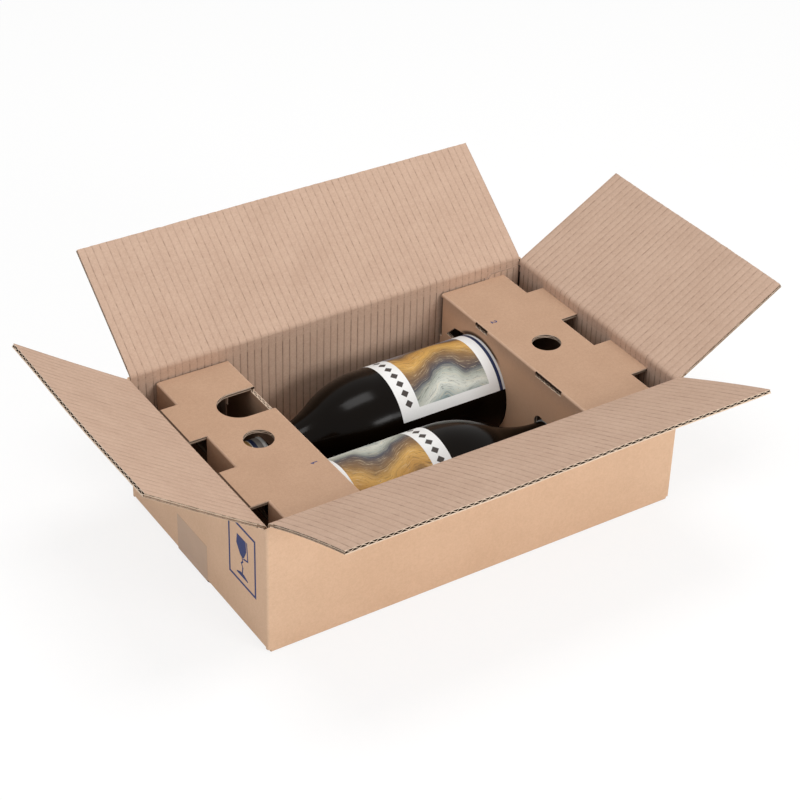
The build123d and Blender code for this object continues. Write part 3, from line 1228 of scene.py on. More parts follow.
@dataclass
class Builder:
    """Gathers grids of points and turns them into one closed mesh.

    Attributes:
        name: of the piece.
        materials: of its faces, by slot.
        points: places of each grid.
        faces: corners of each grid's faces.
        slots: material slot of each face.
        unrolled: unrolled place of each point.
        count: points so far.
    """

    name: str
    materials: Sequence[Material]
    points: list[np.ndarray] = field(default_factory=list)
    faces: list[np.ndarray] = field(default_factory=list)
    slots: list[np.ndarray] = field(default_factory=list)
    unrolled: list[np.ndarray] = field(default_factory=list)
    count: int = 0

    def grid(self, points: np.ndarray, slot: int = 0, flip: bool = False,
             unrolled: Optional[np.ndarray] = None) -> None:
        """Adds a grid of four-cornered faces.

        Args:
            points: rows by columns by 3, in millimetres.
            slot: material.
            flip: turns the faces over.
            unrolled: rows by columns by 2, the unrolled place in millimetres.
        """
        rows, columns = points.shape[:2]
        index = self.count + np.arange(rows * columns).reshape(rows, columns)
        corners = [index[:-1, :-1], index[:-1, 1:], index[1:, 1:], index[1:, :-1]]
        quads = np.stack(corners[::-1] if flip else corners, -1).reshape(-1, 4)
        if unrolled is None:
            unrolled = np.zeros((rows, columns, 2))
        self.points.append(points.reshape(-1, 3))
        self.unrolled.append(unrolled.reshape(-1, 2))
        self.faces.append(quads)
        self.slots.append(np.full(len(quads), int(slot)))
        self.count += rows * columns

    def sheet(self, lower: np.ndarray, upper: np.ndarray, slots: Sequence[int],
              unrolled: Optional[np.ndarray] = None) -> None:
        """Adds a closed sheet between two grids whose columns turn left of their rows.

        Args:
            lower: grid of the underside.
            upper: grid of the upper side.
            slots: materials of the underside, the upper side, the edges and, if they differ, the side edges.
            unrolled: the unrolled place of both.
        """
        self.grid(lower, slots[0], True, unrolled)
        self.grid(upper, slots[1], False, unrolled)
        edges = ((lower[0], upper[0], False, 2), (lower[-1], upper[-1], True, 2),
                 (lower[:, 0], upper[:, 0], True, -1), (lower[:, -1], upper[:, -1], False, -1))
        for low, high, flip, slot in edges:
            level = np.linspace(0, BOARD.thickness, 2)[:, None] + np.zeros(len(low))
            self.grid(np.stack([low, high]), slots[slot], flip, np.stack([0 * level, level], -1))

    def build(self, body: str, stands_for: Sequence[str] = (), sharp: float = 35.0) -> Piece:
        """Makes the piece: points that lie together are joined, and edges over an angle stay sharp.

        Args:
            body: that the piece rides on, or nothing if it rides on none.
            stands_for: CAD pieces that it takes the place of.
            sharp: degrees.

        Returns:
            The piece, with its place in its mesh.
        """
        mesh = bpy.data.meshes.new(self.name)
        faces = np.concatenate(self.faces)
        mesh.from_pydata((np.concatenate(self.points) * MM).tolist(), [], faces.tolist())
        for material in self.materials:
            mesh.materials.append(material)
        mesh.polygons.foreach_set("material_index", np.concatenate(self.slots).astype(np.int32))
        mesh.polygons.foreach_set("use_smooth", np.ones(len(faces), bool))
        layer = mesh.uv_layers.new(name="Unrolled")
        flat = np.concatenate(self.unrolled)[faces.ravel()] * MM
        layer.data.foreach_set("uv", flat.astype(np.float32).ravel())
        joined = bmesh.new()
        joined.from_mesh(mesh)
        bmesh.ops.remove_doubles(joined, verts=joined.verts, dist=1e-7)
        joined.to_mesh(mesh)
        joined.free()
        mesh.set_sharp_from_angle(angle=math.radians(sharp))
        made = put_in_scene(self.name, mesh)
        if body:
            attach(made, body)
        if stands_for:
            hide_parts(*stands_for)
        log.info("%s: %d faces", self.name, len(mesh.polygons))
        return made


def runs(*spans: tuple[float, float, int]) -> np.ndarray:
    """Joined runs of evenly spaced values.

    Args:
        *spans: start, end and number of steps of each run.

    Returns:
        The values, with the shared ends once.
    """
    values = [np.linspace(start, end, steps, endpoint=False) for start, end, steps in spans]
    return np.concatenate([*values, [spans[-1][1]]])


def bell(way: np.ndarray, middle: float, width: float) -> np.ndarray:
    """A bell curve: e to the power of minus the square of the way from its middle over its width."""
    return np.exp(-(((way - middle) / width) ** 2))


@dataclass(frozen=True)
class FlapPaints:
    """Materials of a flap.

    Attributes:
        outside: of the outer liner.
        inside: of the inner liner.
        raw: of cut edges.
        cavity: of the flutes' inner faces, painted near black as shade.
        side: of the edges that lie along the flutes.
    """

    outside: Material
    inside: Material
    raw: Material
    cavity: Material
    side: Material

    @staticmethod
    def along(axis: Axis) -> "FlapPaints":
        """The five materials for one direction of flutes.

        Args:
            axis: direction in which flutes follow one another.

        Returns:
            The materials.
        """
        way = axis.name.lower()
        return FlapPaints(
            OUTSIDE.material(f"outside_{way}", axis),
            INSIDE.material(f"inside_{way}", axis),
            RAW.material(f"raw_{way}", axis),
            CAVITY.material(f"cavity_{way}", axis),
            SideFinish().material(f"side_{way}"),
        )

    def slots(self) -> tuple[Material, ...]:
        """The materials in the order of their slots."""
        return self.outside, self.inside, self.raw, self.cavity, self.side


@dataclass(frozen=True)
class Flap:
    """One top flap and its fold.

    Attributes:
        name: side of the box.
        hinge: middle of the outer fold line, in millimetres.
        turn: degrees from the back side, anticlockwise from above.
        lift: degrees above the horizontal.
        length: along the fold.
        depth: from the fold to the free edge.
        seed: for its own small irregularities.
        droop: how far its free edge hangs at the start and at the end of the fold.
        long_wave: height of its long wave, and radians over the flap's length.
        short_wave: height of its short wave, and millimetres to a radian.
        phase: radians by which both waves move on from one seed to the next.
        root: where the sandwich starts.
        medium_start: how far beyond the root the medium starts.
        overlap: how far the fold's strip reaches over it.
        wall_reach: how far the strip reaches down the wall.
        bend_radius: of the outer face at the fold.
        blend_reach: how far from the hinge a place is set out on the wall and on the flap; neither is used.
        proud: how far the strip stands out from wall and flap.
        crease: depth and half width of the groove inside the fold.
        edge_run: width of the ragged free edge.
        rag: spread of that edge's strays.
        medium_back: how far the medium is set back at the free edge.
        crest_gap: between the medium's crests and the liners.
        crest_flat: height of the medium's wave before its crests are clipped to 1.
        side_inset: how far the crushed wall along a side stays inside the panel's edges.
        side_thickness: of that wall.
        dents: height of each of the two waves that dent it, and millimetres to a radian.
    """

    name: str
    hinge: Place
    turn: float
    lift: float
    length: float
    depth: float
    seed: int
    droop: tuple[float, float]
    long_wave: tuple[float, float] = (0.5, 5.0)
    short_wave: tuple[float, float] = (0.25, 31.0)
    phase: float = 1.7
    root: float = 6.0
    medium_start: float = 2.0
    overlap: float = 1.2
    wall_reach: float = 9.0
    bend_radius: float = 2.0
    blend_reach: float = 4.0
    proud: float = 0.02
    crease: tuple[float, float] = (0.10, 3.0)
    edge_run: float = 2.0
    rag: float = 0.10
    medium_back: float = 0.12
    crest_gap: float = 0.02
    crest_flat: float = 1.12
    side_inset: float = 0.3
    side_thickness: float = 0.2
    dents: tuple[tuple[float, float], ...] = ((0.12, 2.9), (0.10, 1.3))

    @property
    def body(self) -> str:
        """The body that the flap belongs to."""
        return f"flap_{self.name}"

    @property
    def bend(self) -> float:
        """The turn from the wall to the flap, in radians."""
        return math.radians(90 - self.lift)

    @property
    def tangent(self) -> float:
        """The way from the fold line to the end of the outer face's arc."""
        return self.bend_radius * math.tan(self.bend / 2)

    def world(self, along: np.ndarray, outward: np.ndarray, up: np.ndarray) -> np.ndarray:
        """Places points that are given from the middle of the fold line.

        Args:
            along: way along the fold.
            outward: way out from the box.
            up: way up.

        Returns:
            The places.
        """
        turn = math.radians(self.turn)
        x = along * math.cos(turn) - outward * math.sin(turn)
        y = along * math.sin(turn) + outward * math.cos(turn)
        return np.stack([x, y, up + 0 * x], -1) + np.array(self.hinge)

    def flat(self, along: np.ndarray, depth: np.ndarray, level: np.ndarray) -> np.ndarray:
        """Places points of the flap.

        Args:
            along: way along the fold.
            depth: way from the fold to the free edge.
            level: way from the outer face towards the inner one.

        Returns:
            The places.
        """
        lift = math.radians(self.lift)
        outward = depth * math.cos(lift) - level * math.sin(lift)
        up = depth * math.sin(lift) + level * math.cos(lift)
        return self.world(along, outward, up)

    def sag(self, along: np.ndarray, depth: np.ndarray) -> np.ndarray:
        """How far the flap leaves its plane: slow waves and a droop that grow with the square of the depth.

        Args:
            along: way along the fold.
            depth: way from the fold to the free edge.

        Returns:
            The way that each point moves towards the inner face.
        """
        grow = np.clip((depth - self.root - self.overlap) / (self.depth - self.root), 0, 1) ** 2
        phase = self.seed * self.phase
        long_height, long_turn = self.long_wave
        short_height, short_reach = self.short_wave
        waves = long_height * np.sin(along / self.length * long_turn + phase)
        waves = waves + short_height * np.sin(along / short_reach + phase)
        start, end = self.droop
        return grow * (waves - start - (end - start) * (along / self.length + 0.5))

    def strays(self, along: np.ndarray) -> np.ndarray:
        """How far the free edge strays: random steps, joined by straight lines.

        Args:
            along: way along the fold.

        Returns:
            The stray of each point.
        """
        knots = np.linspace(along[0], along[-1], STEPS.strays)
        return np.interp(along, knots, np.random.default_rng(self.seed).normal(0, self.rag, knots.size))

    def panel(self, paints: FlapPaints) -> Piece:
        """The fluted sandwich from just beyond the fold to the free edge.

        Args:
            paints: materials.

        Returns:
            The piece.
        """
        builder = Builder(f"flap_board_{self.name}", paints.slots())
        steps = int(self.length / BOARD.pitch * STEPS.flute)
        along = np.linspace(-self.length / 2, self.length / 2, steps + 1)
        edge_start = self.depth - self.edge_run
        to_edge, across_edge = STEPS.panel
        depths = runs((self.root, edge_start, to_edge), (edge_start, self.depth, across_edge))
        way, depth = np.meshgrid(along, depths)
        near_edge = np.clip((depth - edge_start) / self.edge_run, 0, 1)
        reach = depth + near_edge * self.strays(along)
        rise = self.sag(way, depth)
        liners = (
            (0.0, BOARD.outer, (Slot.OUTSIDE, Slot.CAVITY, Slot.RAW, Slot.SIDE)),
            (BOARD.thickness - BOARD.inner, BOARD.thickness, (Slot.CAVITY, Slot.INSIDE, Slot.RAW, Slot.SIDE)),
        )
        for low, high, slots in liners:
            builder.sheet(self.flat(way, reach, rise + low), self.flat(way, reach, rise + high), slots)
        medium_depth = np.clip(depth, self.root + self.medium_start, None) - self.medium_back * near_edge
        self.add_medium(builder, way, medium_depth, rise)
        self.close_sides(builder)
        return builder.build(self.body, [f"top_flap_{self.name}"])

    def add_medium(self, builder: Builder, along: np.ndarray, depth: np.ndarray, rise: np.ndarray) -> None:
        """Adds the medium: its level is a sine less a ninth of the sine of its triple, clipped at its crests.

        Args:
            builder: of the panel.
            along: way along the fold.
            depth: way from the fold to the free edge.
            rise: way that each point leaves the flap's plane.
        """
        low, high, half = BOARD.outer, BOARD.thickness - BOARD.inner, BOARD.medium / 2
        crest = (high - low - BOARD.medium) / 2 - self.crest_gap
        phase = along / BOARD.pitch * FULL_TURN
        wave = np.clip(self.crest_flat * (np.sin(phase) - np.sin(3 * phase) / 9), -1, 1)
        level = rise + (low + high) / 2 + crest * wave
        slots = (Slot.CAVITY, Slot.CAVITY, Slot.RAW)
        builder.sheet(self.flat(along, depth, level - half), self.flat(along, depth, level + half), slots)

    def close_sides(self, builder: Builder) -> None:
        """Adds the crushed flute wall just inside each side edge, dented by two sines of the depth.

        Args:
            builder: of the panel.
        """
        points_along, points_across = STEPS.side
        depths = np.linspace(self.root, self.depth - self.side_inset, points_along)
        levels = np.linspace(BOARD.outer, BOARD.thickness - BOARD.inner, points_across)
        depth, level = np.meshgrid(depths, levels)
        (high, reach), (fine_high, fine_reach) = self.dents
        dent = high * np.sin(depth / reach + self.seed) + fine_high * np.sin(depth / fine_reach + level)
        unrolled = np.stack([depth, level], -1)
        inset = self.length / 2 - self.side_inset
        for start in (-inset, inset - self.side_thickness):
            rise = self.sag(np.full(depth.shape, start), depth) + level
            near, far = (self.flat(start + dent + step, depth, rise) for step in (0.0, self.side_thickness))
            builder.sheet(near, far, (Slot.SIDE, Slot.SIDE, Slot.SIDE), unrolled)

    def strip(self, along: np.ndarray, ways: tuple[np.ndarray, np.ndarray, np.ndarray],
              level: np.ndarray) -> np.ndarray:
        """One surface of the fold: up the wall, round an arc and out along the flap.

        On the arc, the radius is the outer face's radius plus the level.

        Args:
            along: ways along the fold.
            ways: heights on the wall, angles on the arc and depths on the flap.
            level: depth below the outer face at each of them.

        Returns:
            Grid of places, with a row for each height, angle and depth.
        """
        low, arc, high = ways
        on_wall, on_arc, on_flap = np.split(level, [low.size, low.size + arc.size])
        turned = self.bend_radius + on_arc
        outward = np.concatenate([
            -on_wall,
            self.bend_radius - turned * np.cos(arc),
            high * math.sin(self.bend) - on_flap * math.cos(self.bend),
        ])
        up = np.concatenate([
            low,
            turned * np.sin(arc) - self.tangent,
            high * math.cos(self.bend) + on_flap * math.sin(self.bend),
        ])
        way, outward = np.meshgrid(along, outward)
        _, up = np.meshgrid(along, up)
        return self.world(way, outward, up)

    def fold(self, paints: FlapPaints) -> Piece:
        """The creased strip that carries the wall's two faces over into the flap's.

        Its groove is a bell curve of the way from the fold line.

        Args:
            paints: materials.

        Returns:
            The piece.
        """
        tangent = self.tangent
        wall_steps, arc_points, flap_steps = STEPS.fold
        low = np.linspace(-self.wall_reach, -tangent, wall_steps, endpoint=False)
        arc = np.linspace(0, self.bend, arc_points)
        high = runs((tangent, self.root, flap_steps), (self.root, self.root + self.overlap, 1))[1:]
        way = np.concatenate([low, arc / self.bend * 2 * tangent - tangent, high])
        along = np.linspace(-self.length / 2, self.length / 2, STEPS.fold_points)
        crease_depth, crease_width = self.crease
        groove = crease_depth * bell(way, 0.0, crease_width)
        outer = self.strip(along, (low, arc, high), np.full(way.size, -self.proud))
        inner = self.strip(along, (low, arc, high), BOARD.thickness + self.proud - groove)
        builder = Builder(f"fold_{self.name}", paints.slots())
        builder.sheet(outer, inner, (Slot.OUTSIDE, Slot.INSIDE, Slot.SIDE))
        made = builder.build("")
        none, reach = np.array(0.0), np.array(self.blend_reach)
        start = self.world(none, none, -reach) * MM
        end = self.flat(none, reach, none) * MM
        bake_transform(made)
        return made


def flaps() -> dict[Axis, tuple[Flap, Flap]]:
    """The four top flaps.

    Returns:
        The flaps by the direction of their folds.
    """
    side, end = BOX.width / 2, BOX.length / 2
    long_size = {"length": BOX.length - 2 * BOX.flap_inset, "depth": side - BOX.seam / 2}
    end_size = {"length": BOX.width - 2 * BOX.end_flap_inset, "depth": BOX.flap_reach}
    back, front = (0, side, BOX.long_fold), (0, -side, BOX.long_fold)
    left, right = (-end, 0, BOX.end_fold), (end, 0, BOX.end_fold)
    return {
        Axis.X: (
            Flap("back", back, turn=0, lift=38.9, seed=1, droop=(0.8, 0.8), **long_size),
            Flap("front", front, turn=180, lift=26.1, seed=2, droop=(2.6, 4.9), **long_size),
        ),
        Axis.Y: (
            Flap("left", left, turn=90, lift=33.95, seed=3, droop=(-0.8, -0.8), **end_size),
            Flap("right", right, turn=-90, lift=30.6, seed=4, droop=(-0.8, -0.8), **end_size),
        ),
    }


@dataclass(frozen=True)
class Bottle:
    """One lying bottle.

    Attributes:
        name: side of the box.
        base: place of its base along X, in millimetres.
        side: 1 at the back, -1 at the front.
        heading: 1 if its mouth points towards +X, otherwise -1.
        label: degrees from its own +Y to the middle of its label.
    """

    name: str
    base: float
    side: int
    heading: int
    label: float

    def turned(self, profile: np.ndarray, angles: np.ndarray) -> np.ndarray:
        """Carries a profile round the axis.

        Args:
            profile: lengths and radii.
            angles: round the axis.

        Returns:
            Grid of places: rows along the profile, columns round the axis.
        """
        along, radius = profile[:, :1], profile[:, 1:]
        x = self.base + along * self.heading + 0 * angles
        y = BOTTLE.offset * self.side + radius * np.cos(angles) * self.heading
        return np.stack([x, y, BOTTLE.height + radius * np.sin(angles)], -1)

    def unrolled(self, profile: np.ndarray, angles: np.ndarray, start: float) -> np.ndarray:
        """Lengths along the axis, and arcs of the body's radius round it.

        Args:
            profile: lengths and radii.
            angles: round the axis.
            start: length that counts as 0.

        Returns:
            The unrolled place of each point of the grid.
        """
        around, along = np.meshgrid((angles - angles[0]) * BOTTLE.radius, profile[:, 0] - start)
        return np.stack([along, around], -1)

    def round_piece(self, kind: str, profile: np.ndarray, start: float,
                    material: Material) -> Piece:
        """Turns a profile all the way round.

        Args:
            kind: what the piece is.
            profile: lengths and radii.
            start: length at which the unrolled place counts from 0.
            material: of the piece.

        Returns:
            The piece.
        """
        angles = np.linspace(0, FULL_TURN, STEPS.turn)
        points = self.turned(profile, angles)
        points[:, -1] = points[:, 0]
        builder = Builder(f"{kind}_skin_{self.name}", (material,))
        builder.grid(points, 0, True, self.unrolled(profile, angles, start))
        return builder.build("carton", [f"{kind}_{self.name}"])

    def shoulder(self) -> np.ndarray:
        """Two arcs that meet with one slope, the first tangent to the body and the second to the neck.

        The radii add up to half of the run's square plus the drop's square, divided by the drop. Both
        arcs span the angle whose sine is the run divided by that sum.

        Returns:
            Lengths and radii from the body to the neck.
        """
        size = BOTTLE
        drop, run = size.radius - size.neck_radius, size.neck - size.shoulder
        both = (run**2 + drop**2) / (2 * drop)
        rest = both - size.arc
        span = math.asin(run / both)
        first = np.linspace(0, span, STEPS.arc)
        second = np.linspace(span, 0, STEPS.arc)[1:]
        by_body = [size.shoulder + size.arc * np.sin(first), size.radius - size.arc * (1 - np.cos(first))]
        by_neck = [size.neck - rest * np.sin(second), size.neck_radius + rest * (1 - np.cos(second))]
        return np.concatenate([np.stack(by_body, 1), np.stack(by_neck, 1)])

    def glass(self, material: Material) -> Piece:
        """The sealed glass: flat base, heel of a quarter circle, body, shoulder and neck.

        Args:
            material: of the glass.

        Returns:
            The piece.
        """
        size = BOTTLE
        heel = np.linspace(math.pi / 2, 0, STEPS.heel)
        body = np.linspace(size.heel, size.shoulder, STEPS.body)
        end = size.length - size.cap_wall - size.cap_clearance
        profile = np.concatenate([
            [[0, 0]],
            np.stack([size.heel * (1 - np.sin(heel)), size.radius - size.heel * (1 - np.cos(heel))], 1),
            np.stack([body, np.full(body.size, size.radius)], 1)[1:-1],
            self.shoulder(),
            [[end, size.neck_radius], [end, 0]],
        ])
        return self.round_piece("bottle", profile, 0.0, material)

    def cap(self, material: Material) -> Piece:
        """The long-skirted cap: a bead at the skirt's end and a groove near the top, each a bell curve.

        Args:
            material: of the cap.

        Returns:
            The piece.
        """
        size = BOTTLE
        edge_length, edge_depth = size.cap_edge
        along = np.linspace(size.cap_start, size.length - edge_length, STEPS.cap)
        groove_depth, from_top, groove_width = size.cap_groove
        groove = groove_depth * bell(along, size.length - from_top, groove_width)
        bead_height, from_end, bead_width = size.cap_bead
        bead = bead_height * (bell(along, size.cap_start + from_end, bead_width) - 1)
        inside, ceiling = size.neck_radius + size.cap_clearance, size.length - size.cap_wall
        profile = np.concatenate([
            [[ceiling, 0], [ceiling, inside], [size.cap_start, inside]],
            np.stack([along, size.cap_radius - groove + bead], 1),
            [[size.length, size.cap_radius - edge_depth], [size.length, 0]],
        ])
        return self.round_piece("cap", profile, size.cap_start, material)

    def paper(self, material: Material) -> Piece:
        """The label: a thin sheet round part of the body.

        Args:
            material: of the label.

        Returns:
            The piece.
        """
        size = BOTTLE
        points_along, points_round = STEPS.label
        along = np.linspace(size.label_start, size.label_start + size.label_length, points_along)
        middle, half = math.radians(self.label), math.radians(size.label_wrap / 2)
        angles = np.linspace(middle - half, middle + half, points_round)
        radii = (np.full(along.size, size.radius + face) for face in size.label_faces)
        inner, outer = (np.stack([along, radius], 1) for radius in radii)
        builder = Builder(f"label_skin_{self.name}", (material,))
        unrolled = self.unrolled(outer, angles, size.label_start)
        builder.sheet(self.turned(outer, angles), self.turned(inner, angles), (0, 0, 0), unrolled)
        return builder.build("carton", [f"label_{self.name}"])


# Printing


@dataclass(frozen=True)
class Print:
    """A flat print on a face.

    Attributes:
        name: of the piece.
        origin: place of the print's zero point, in millimetres.
        right: direction of its first coordinate.
        up: direction of its second coordinate.
        slot: material slot of the board below; it is not used.
        lift: height of the outlines above the face.
        step: how much higher every other outline lies.
    """

    name: str
    origin: Place
    right: Place
    up: Place
    slot: str
    lift: float = 0.04
    step: float = 0.01

    @staticmethod
    def stroke(points: Union[Outline, np.ndarray], width: float) -> list[np.ndarray]:
        """Four-cornered strokes along a line of points, each longer than its run by half its width.

        Args:
            points: in the plane of the print.
            width: of the stroke.

        Returns:
            One outline for each run.
        """
        line = np.array(points, float)
        run = np.diff(line, axis=0)
        unit = run / np.linalg.norm(run, axis=1, keepdims=True) * width / 2
        side = np.stack([-unit[:, 1], unit[:, 0]], 1)
        first, last = line[:-1] - unit, line[1:] + unit
        return list(np.stack([first - side, last - side, last + side, first + side], 1))

    @staticmethod
    def facing_out(shape: np.ndarray) -> np.ndarray:
        """Turns an outline anticlockwise, by the sign of the area that it goes round.

        Args:
            shape: corners of the outline.

        Returns:
            The corners, anticlockwise.
        """
        following = np.roll(shape, -1, 0)
        area = np.sum(shape[:, 0] * following[:, 1] - following[:, 0] * shape[:, 1])
        return shape if area > 0 else shape[::-1]

    def press(self, shapes: Sequence[np.ndarray], ink: Material) -> Piece:
        """Makes the print a hair above its face, with every other outline a hair higher still.

        Args:
            shapes: corners of each outline.
            ink: material.

        Returns:
            The piece.
        """
        turned = [self.facing_out(shape) for shape in shapes]
        sizes = [len(shape) for shape in turned]
        flat = np.concatenate(turned)
        right, up = np.array(self.right), np.array(self.up)
        layer = self.lift + self.step * np.repeat(np.arange(len(turned)) % 2, sizes)
        points = np.array(self.origin) + flat[:, :1] * right + flat[:, 1:] * up
        points = points + layer[:, None] * np.cross(right, up)
        starts = np.cumsum([0, *sizes[:-1]])
        mesh = bpy.data.meshes.new(self.name)
        faces = [list(range(start, start + size)) for start, size in zip(starts, sizes)]
        mesh.from_pydata((points * MM).tolist(), [], faces)
        mesh.materials.append(ink)
        made = put_in_scene(self.name, mesh)
        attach(made, "carton")
        log.info("%s: %d outlines", self.name, len(faces))
        return made


@dataclass(frozen=True)
class FragileMark:
    """The common handling mark of a cracked glass in a frame, printed on the left end wall.

    The frame is counted from the box's middle and from the floor. The glass is counted from its own
    middle line and from the floor.

    Attributes:
        sides: left and right side of the frame.
        ends: lower and upper end of the frame.
        middle: middle line of the glass.
        frame_width: of the frame's strokes.
        line_width: of the rim's and the crack's strokes.
        bowl: outline of the filled bowl.
        foot: outline of the foot.
        crack: line of the broken stem.
        rim: line of the bowl's outer wall.
    """

    sides: tuple[float, float] = (54.0, 92.5)
    ends: tuple[float, float] = (40.5, 91.5)
    middle: float = 73.2
    frame_width: float = 2.2
    line_width: float = 1.5
    bowl: Outline = (
        (-7.2, 82.6), (-8.4, 73.6), (-3.0, 66.0), (0.0, 64.6), (3.0, 66.0), (6.6, 73.6), (5.9, 82.6),
    )
    foot: Outline = ((-8.4, 46.4), (8.4, 46.4), (8.4, 47.6), (2.6, 50.0), (-2.6, 50.0), (-8.4, 47.6))
    crack: Outline = ((0.0, 65.0), (1.0, 61.5), (-1.2, 58.8), (0.8, 55.5), (0.0, 50.0))
    rim: Outline = ((7.4, 82.0), (8.6, 66.2), (2.6, 64.6))

    def set_out(self, outline: Outline) -> np.ndarray:
        """Moves an outline of the glass to the middle line."""
        return np.array(outline) + (self.middle, 0.0)

    def press(self, ink: Material) -> Piece:
        """Prints the mark.

        Args:
            ink: material.

        Returns:
            The piece.
        """
        (left, right), (low, high) = self.sides, self.ends
        corners = ((left, low), (right, low), (right, high), (left, high), (left, low))
        shapes = [
            *Print.stroke(corners, self.frame_width),
            self.set_out(self.bowl),
            self.set_out(self.foot),
            *Print.stroke(self.set_out(self.crack), self.line_width),
            *Print.stroke(self.set_out(self.rim), self.line_width),
        ]
        wall = (-BOX.length / 2, 0.0, 0.0)
        return Print("fragile_mark", wall, (0, -1, 0), (0, 0, 1), "carton_board").press(shapes, ink)


FIGURE_WIDTH = 0.95                  # of a printed figure's strokes


class Figure(Enum):
    """A printed figure as a line of points, in millimetres."""

    ONE = ((-1.1, 1.1), (0.0, 2.3), (0.0, -2.3))
    TWO = ((-1.2, 1.3), (-0.7, 2.1), (0.3, 2.3), (1.1, 1.6), (0.9, 0.6), (-1.2, -2.2), (1.3, -2.2))

    def stamp(self, name: str, x: float, y: float, reading: int, ink: Material) -> Piece:
        """Prints the figure on an insert.

        Args:
            name: of the piece.
            x: middle of the figure, in millimetres.
            y: middle of the figure, in millimetres.
            reading: 1 if its top points towards +X, otherwise -1.
            ink: material.

        Returns:
            The piece.
        """
        print_place = Print(name, (x, y, INSERT.top), (0, -reading, 0), (reading, 0, 0), "insert_board")
        return print_place.press(Print.stroke(self.value, FIGURE_WIDTH), ink)


# The studio


@dataclass(frozen=True)
class SoftBox:
    """A soft lamp that faces the object.

    Attributes:
        name: of the light.
        place: in metres.
        width: in metres.
        height: in metres.
        power: in watts.
        colour: of its light.
        target: what it faces, in metres.
    """

    name: str
    place: Place
    width: float
    height: float
    power: float
    colour: Colour = (1.0, 1.0, 1.0)
    target: Place = (0, 0, 0.06)

    def switch_on(self) -> None:
        """Adds the lamp."""
        data = bpy.data.lights.new(self.name, "AREA")
        data.shape = "RECTANGLE"
        data.size, data.size_y = self.width, self.height
        data.energy = self.power
        data.color = self.colour
        light = put_in_scene(self.name, data)
        light.location = self.place
        light.rotation_euler = (Vector(self.target) - light.location).to_track_quat("-Z", "Y").to_euler()


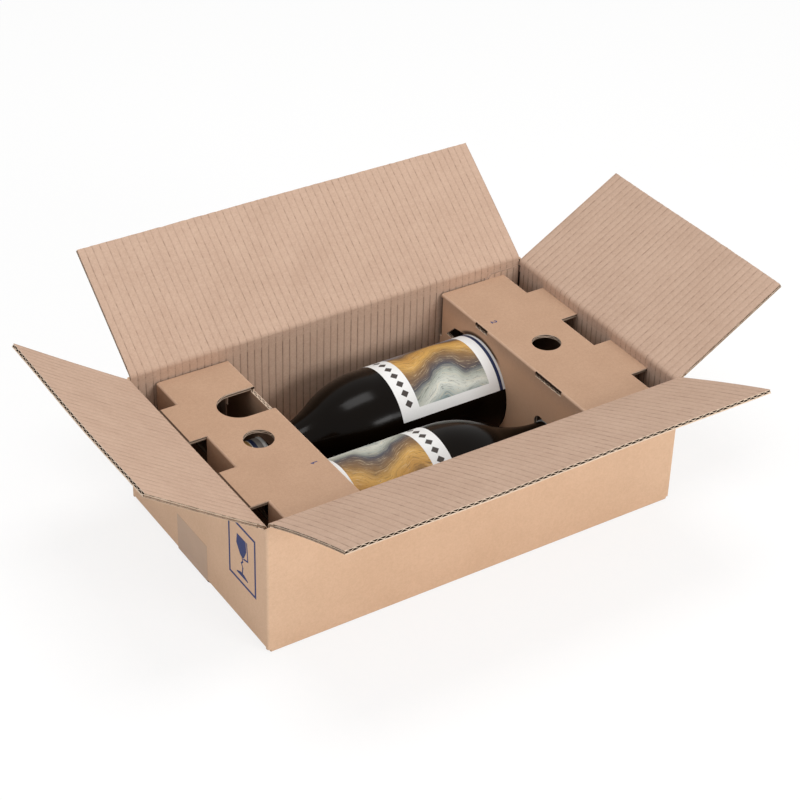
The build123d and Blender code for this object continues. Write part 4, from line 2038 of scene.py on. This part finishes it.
@dataclass(frozen=True)
class Studio:
    """Camera, light and floor.

    Attributes:
        eye: place of the photograph's camera, in metres.
        forward: where it looks.
        right: its right side.
        lens: in millimetres.
        sensor: width, in millimetres.
        view_depth: how far the camera sees, in metres.
        sky: colour of the soft light from all round.
        strength: of that light.
        floor: half the width of the floor, in metres.
        lamps: the soft lamps.
    """

    eye: Place = (-0.7515, -1.1320, 1.0193)
    forward: Place = (0.4554, 0.6903, -0.5622)
    right: Place = (0.8438, -0.5362, 0.0251)
    lens: float = 94.8
    sensor: float = 36.0
    view_depth: float = 20.0
    sky: Colour = (1.0, 0.985, 0.965)
    strength: float = 0.57
    floor: float = 4.0
    lamps: tuple[SoftBox, ...] = (
        SoftBox("key", (0.7, -2.1, 1.0), width=0.9, height=0.6, power=21.0),
        SoftBox("top", (0.0, 0.0, 2.0), width=1.0, height=0.7, power=16.2),
        SoftBox("left", (-1.9, -0.2, 0.9), width=1.2, height=1.0, power=5.0, colour=(0.62, 0.79, 1.0)),
    )

    def place_camera(self) -> None:
        """The photograph's camera, solved from the box's corners."""
        data = bpy.data.cameras.new("camera")
        data.lens = self.lens
        data.sensor_width = self.sensor
        data.clip_end = self.view_depth
        camera = put_in_scene("camera", data)
        forward = Vector(self.forward).normalized()
        up = Vector(self.right).cross(forward).normalized()
        turn = Matrix((forward.cross(up), up, -forward)).transposed().to_4x4()
        camera.matrix_world = Matrix.Translation(self.eye) @ turn
        bpy.context.scene.camera = camera

    def light(self) -> None:
        """Plain soft light all round, white where it is seen, and the lamps."""
        world = bpy.data.worlds.new("studio")
        bpy.context.scene.world = world
        world.use_nodes = True
        graph = Graph(world.node_tree)
        graph.tree.nodes.clear()
        soft = graph.take("Background", 0, inputs={"Color": self.sky, "Strength": self.strength})
        white = graph.take("Background", 0, inputs={"Color": (1.0, 1.0, 1.0), "Strength": 1.0})
        shown = graph.take("MixShader", 0, inputs={0: graph.seen(), 1: soft, 2: white})
        graph.node("OutputWorld", inputs={"Surface": shown})
        for lamp in self.lamps:
            lamp.switch_on()

    def lay_floor(self) -> None:
        """A wide pale floor."""
        side = self.floor
        mesh = bpy.data.meshes.new("floor")
        corners = [(-side, -side, 0), (side, -side, 0), (side, side, 0), (-side, side, 0)]
        mesh.from_pydata(corners, [], [(0, 1, 2, 3)])
        mesh.materials.append(FloorFinish().material())
        floor = put_in_scene("floor", mesh)


def paint_nodes(material: Material, *names: str) -> None:
    """Gives CAD pieces a material.

    Args:
        material: for all their faces.
        *names: of the pieces.
    """
    for name in names:
        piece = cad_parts[name]
        piece.data.materials.clear()
        piece.data.materials.append(material)
        log.info("%s: %s", name, material.name)


def bottles() -> tuple[Bottle, Bottle]:
    """The two bottles, lying head to tail.

    Returns:
        The back bottle and the front bottle.
    """
    back = Bottle("back", base=135.1, side=1, heading=-1, label=92.0)
    front = Bottle("front", base=-131.9, side=-1, heading=1, label=110.0)
    return back, front


def main() -> None:
    """Builds the scene."""
    logging.basicConfig(level=logging.INFO, format="%(name)s: %(message)s")
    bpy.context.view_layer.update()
    bpy.context.scene.view_settings.view_transform = "Standard"
    studio = Studio()
    studio.place_camera()
    studio.light()
    studio.lay_floor()
    for axis, pair in flaps().items():
        paints = FlapPaints.along(axis)
        for flap in pair:
            flap.panel(paints)
            flap.fold(paints)
    paint_nodes(CartonFinish().material(), "carton_body")
    paint_nodes(TapeFinish().material(), "closing_tape")
    paint_nodes(InsertFinish().material(), "insert_left", "insert_right")
    finishes = (GlassFinish(), CapFinish(), LabelFinish(), InkFinish())
    glass, cap, label, ink = (finish.material() for finish in finishes)
    for bottle in bottles():
        bottle.glass(glass)
        bottle.cap(cap)
        bottle.paper(label)
    FragileMark().press(ink)
    Figure.ONE.stamp("number_left", x=-110.0, y=-47.0, reading=-1, ink=ink)
    Figure.TWO.stamp("number_right", x=116.0, y=47.0, reading=1, ink=ink)


if __name__ == "__main__":
    main()
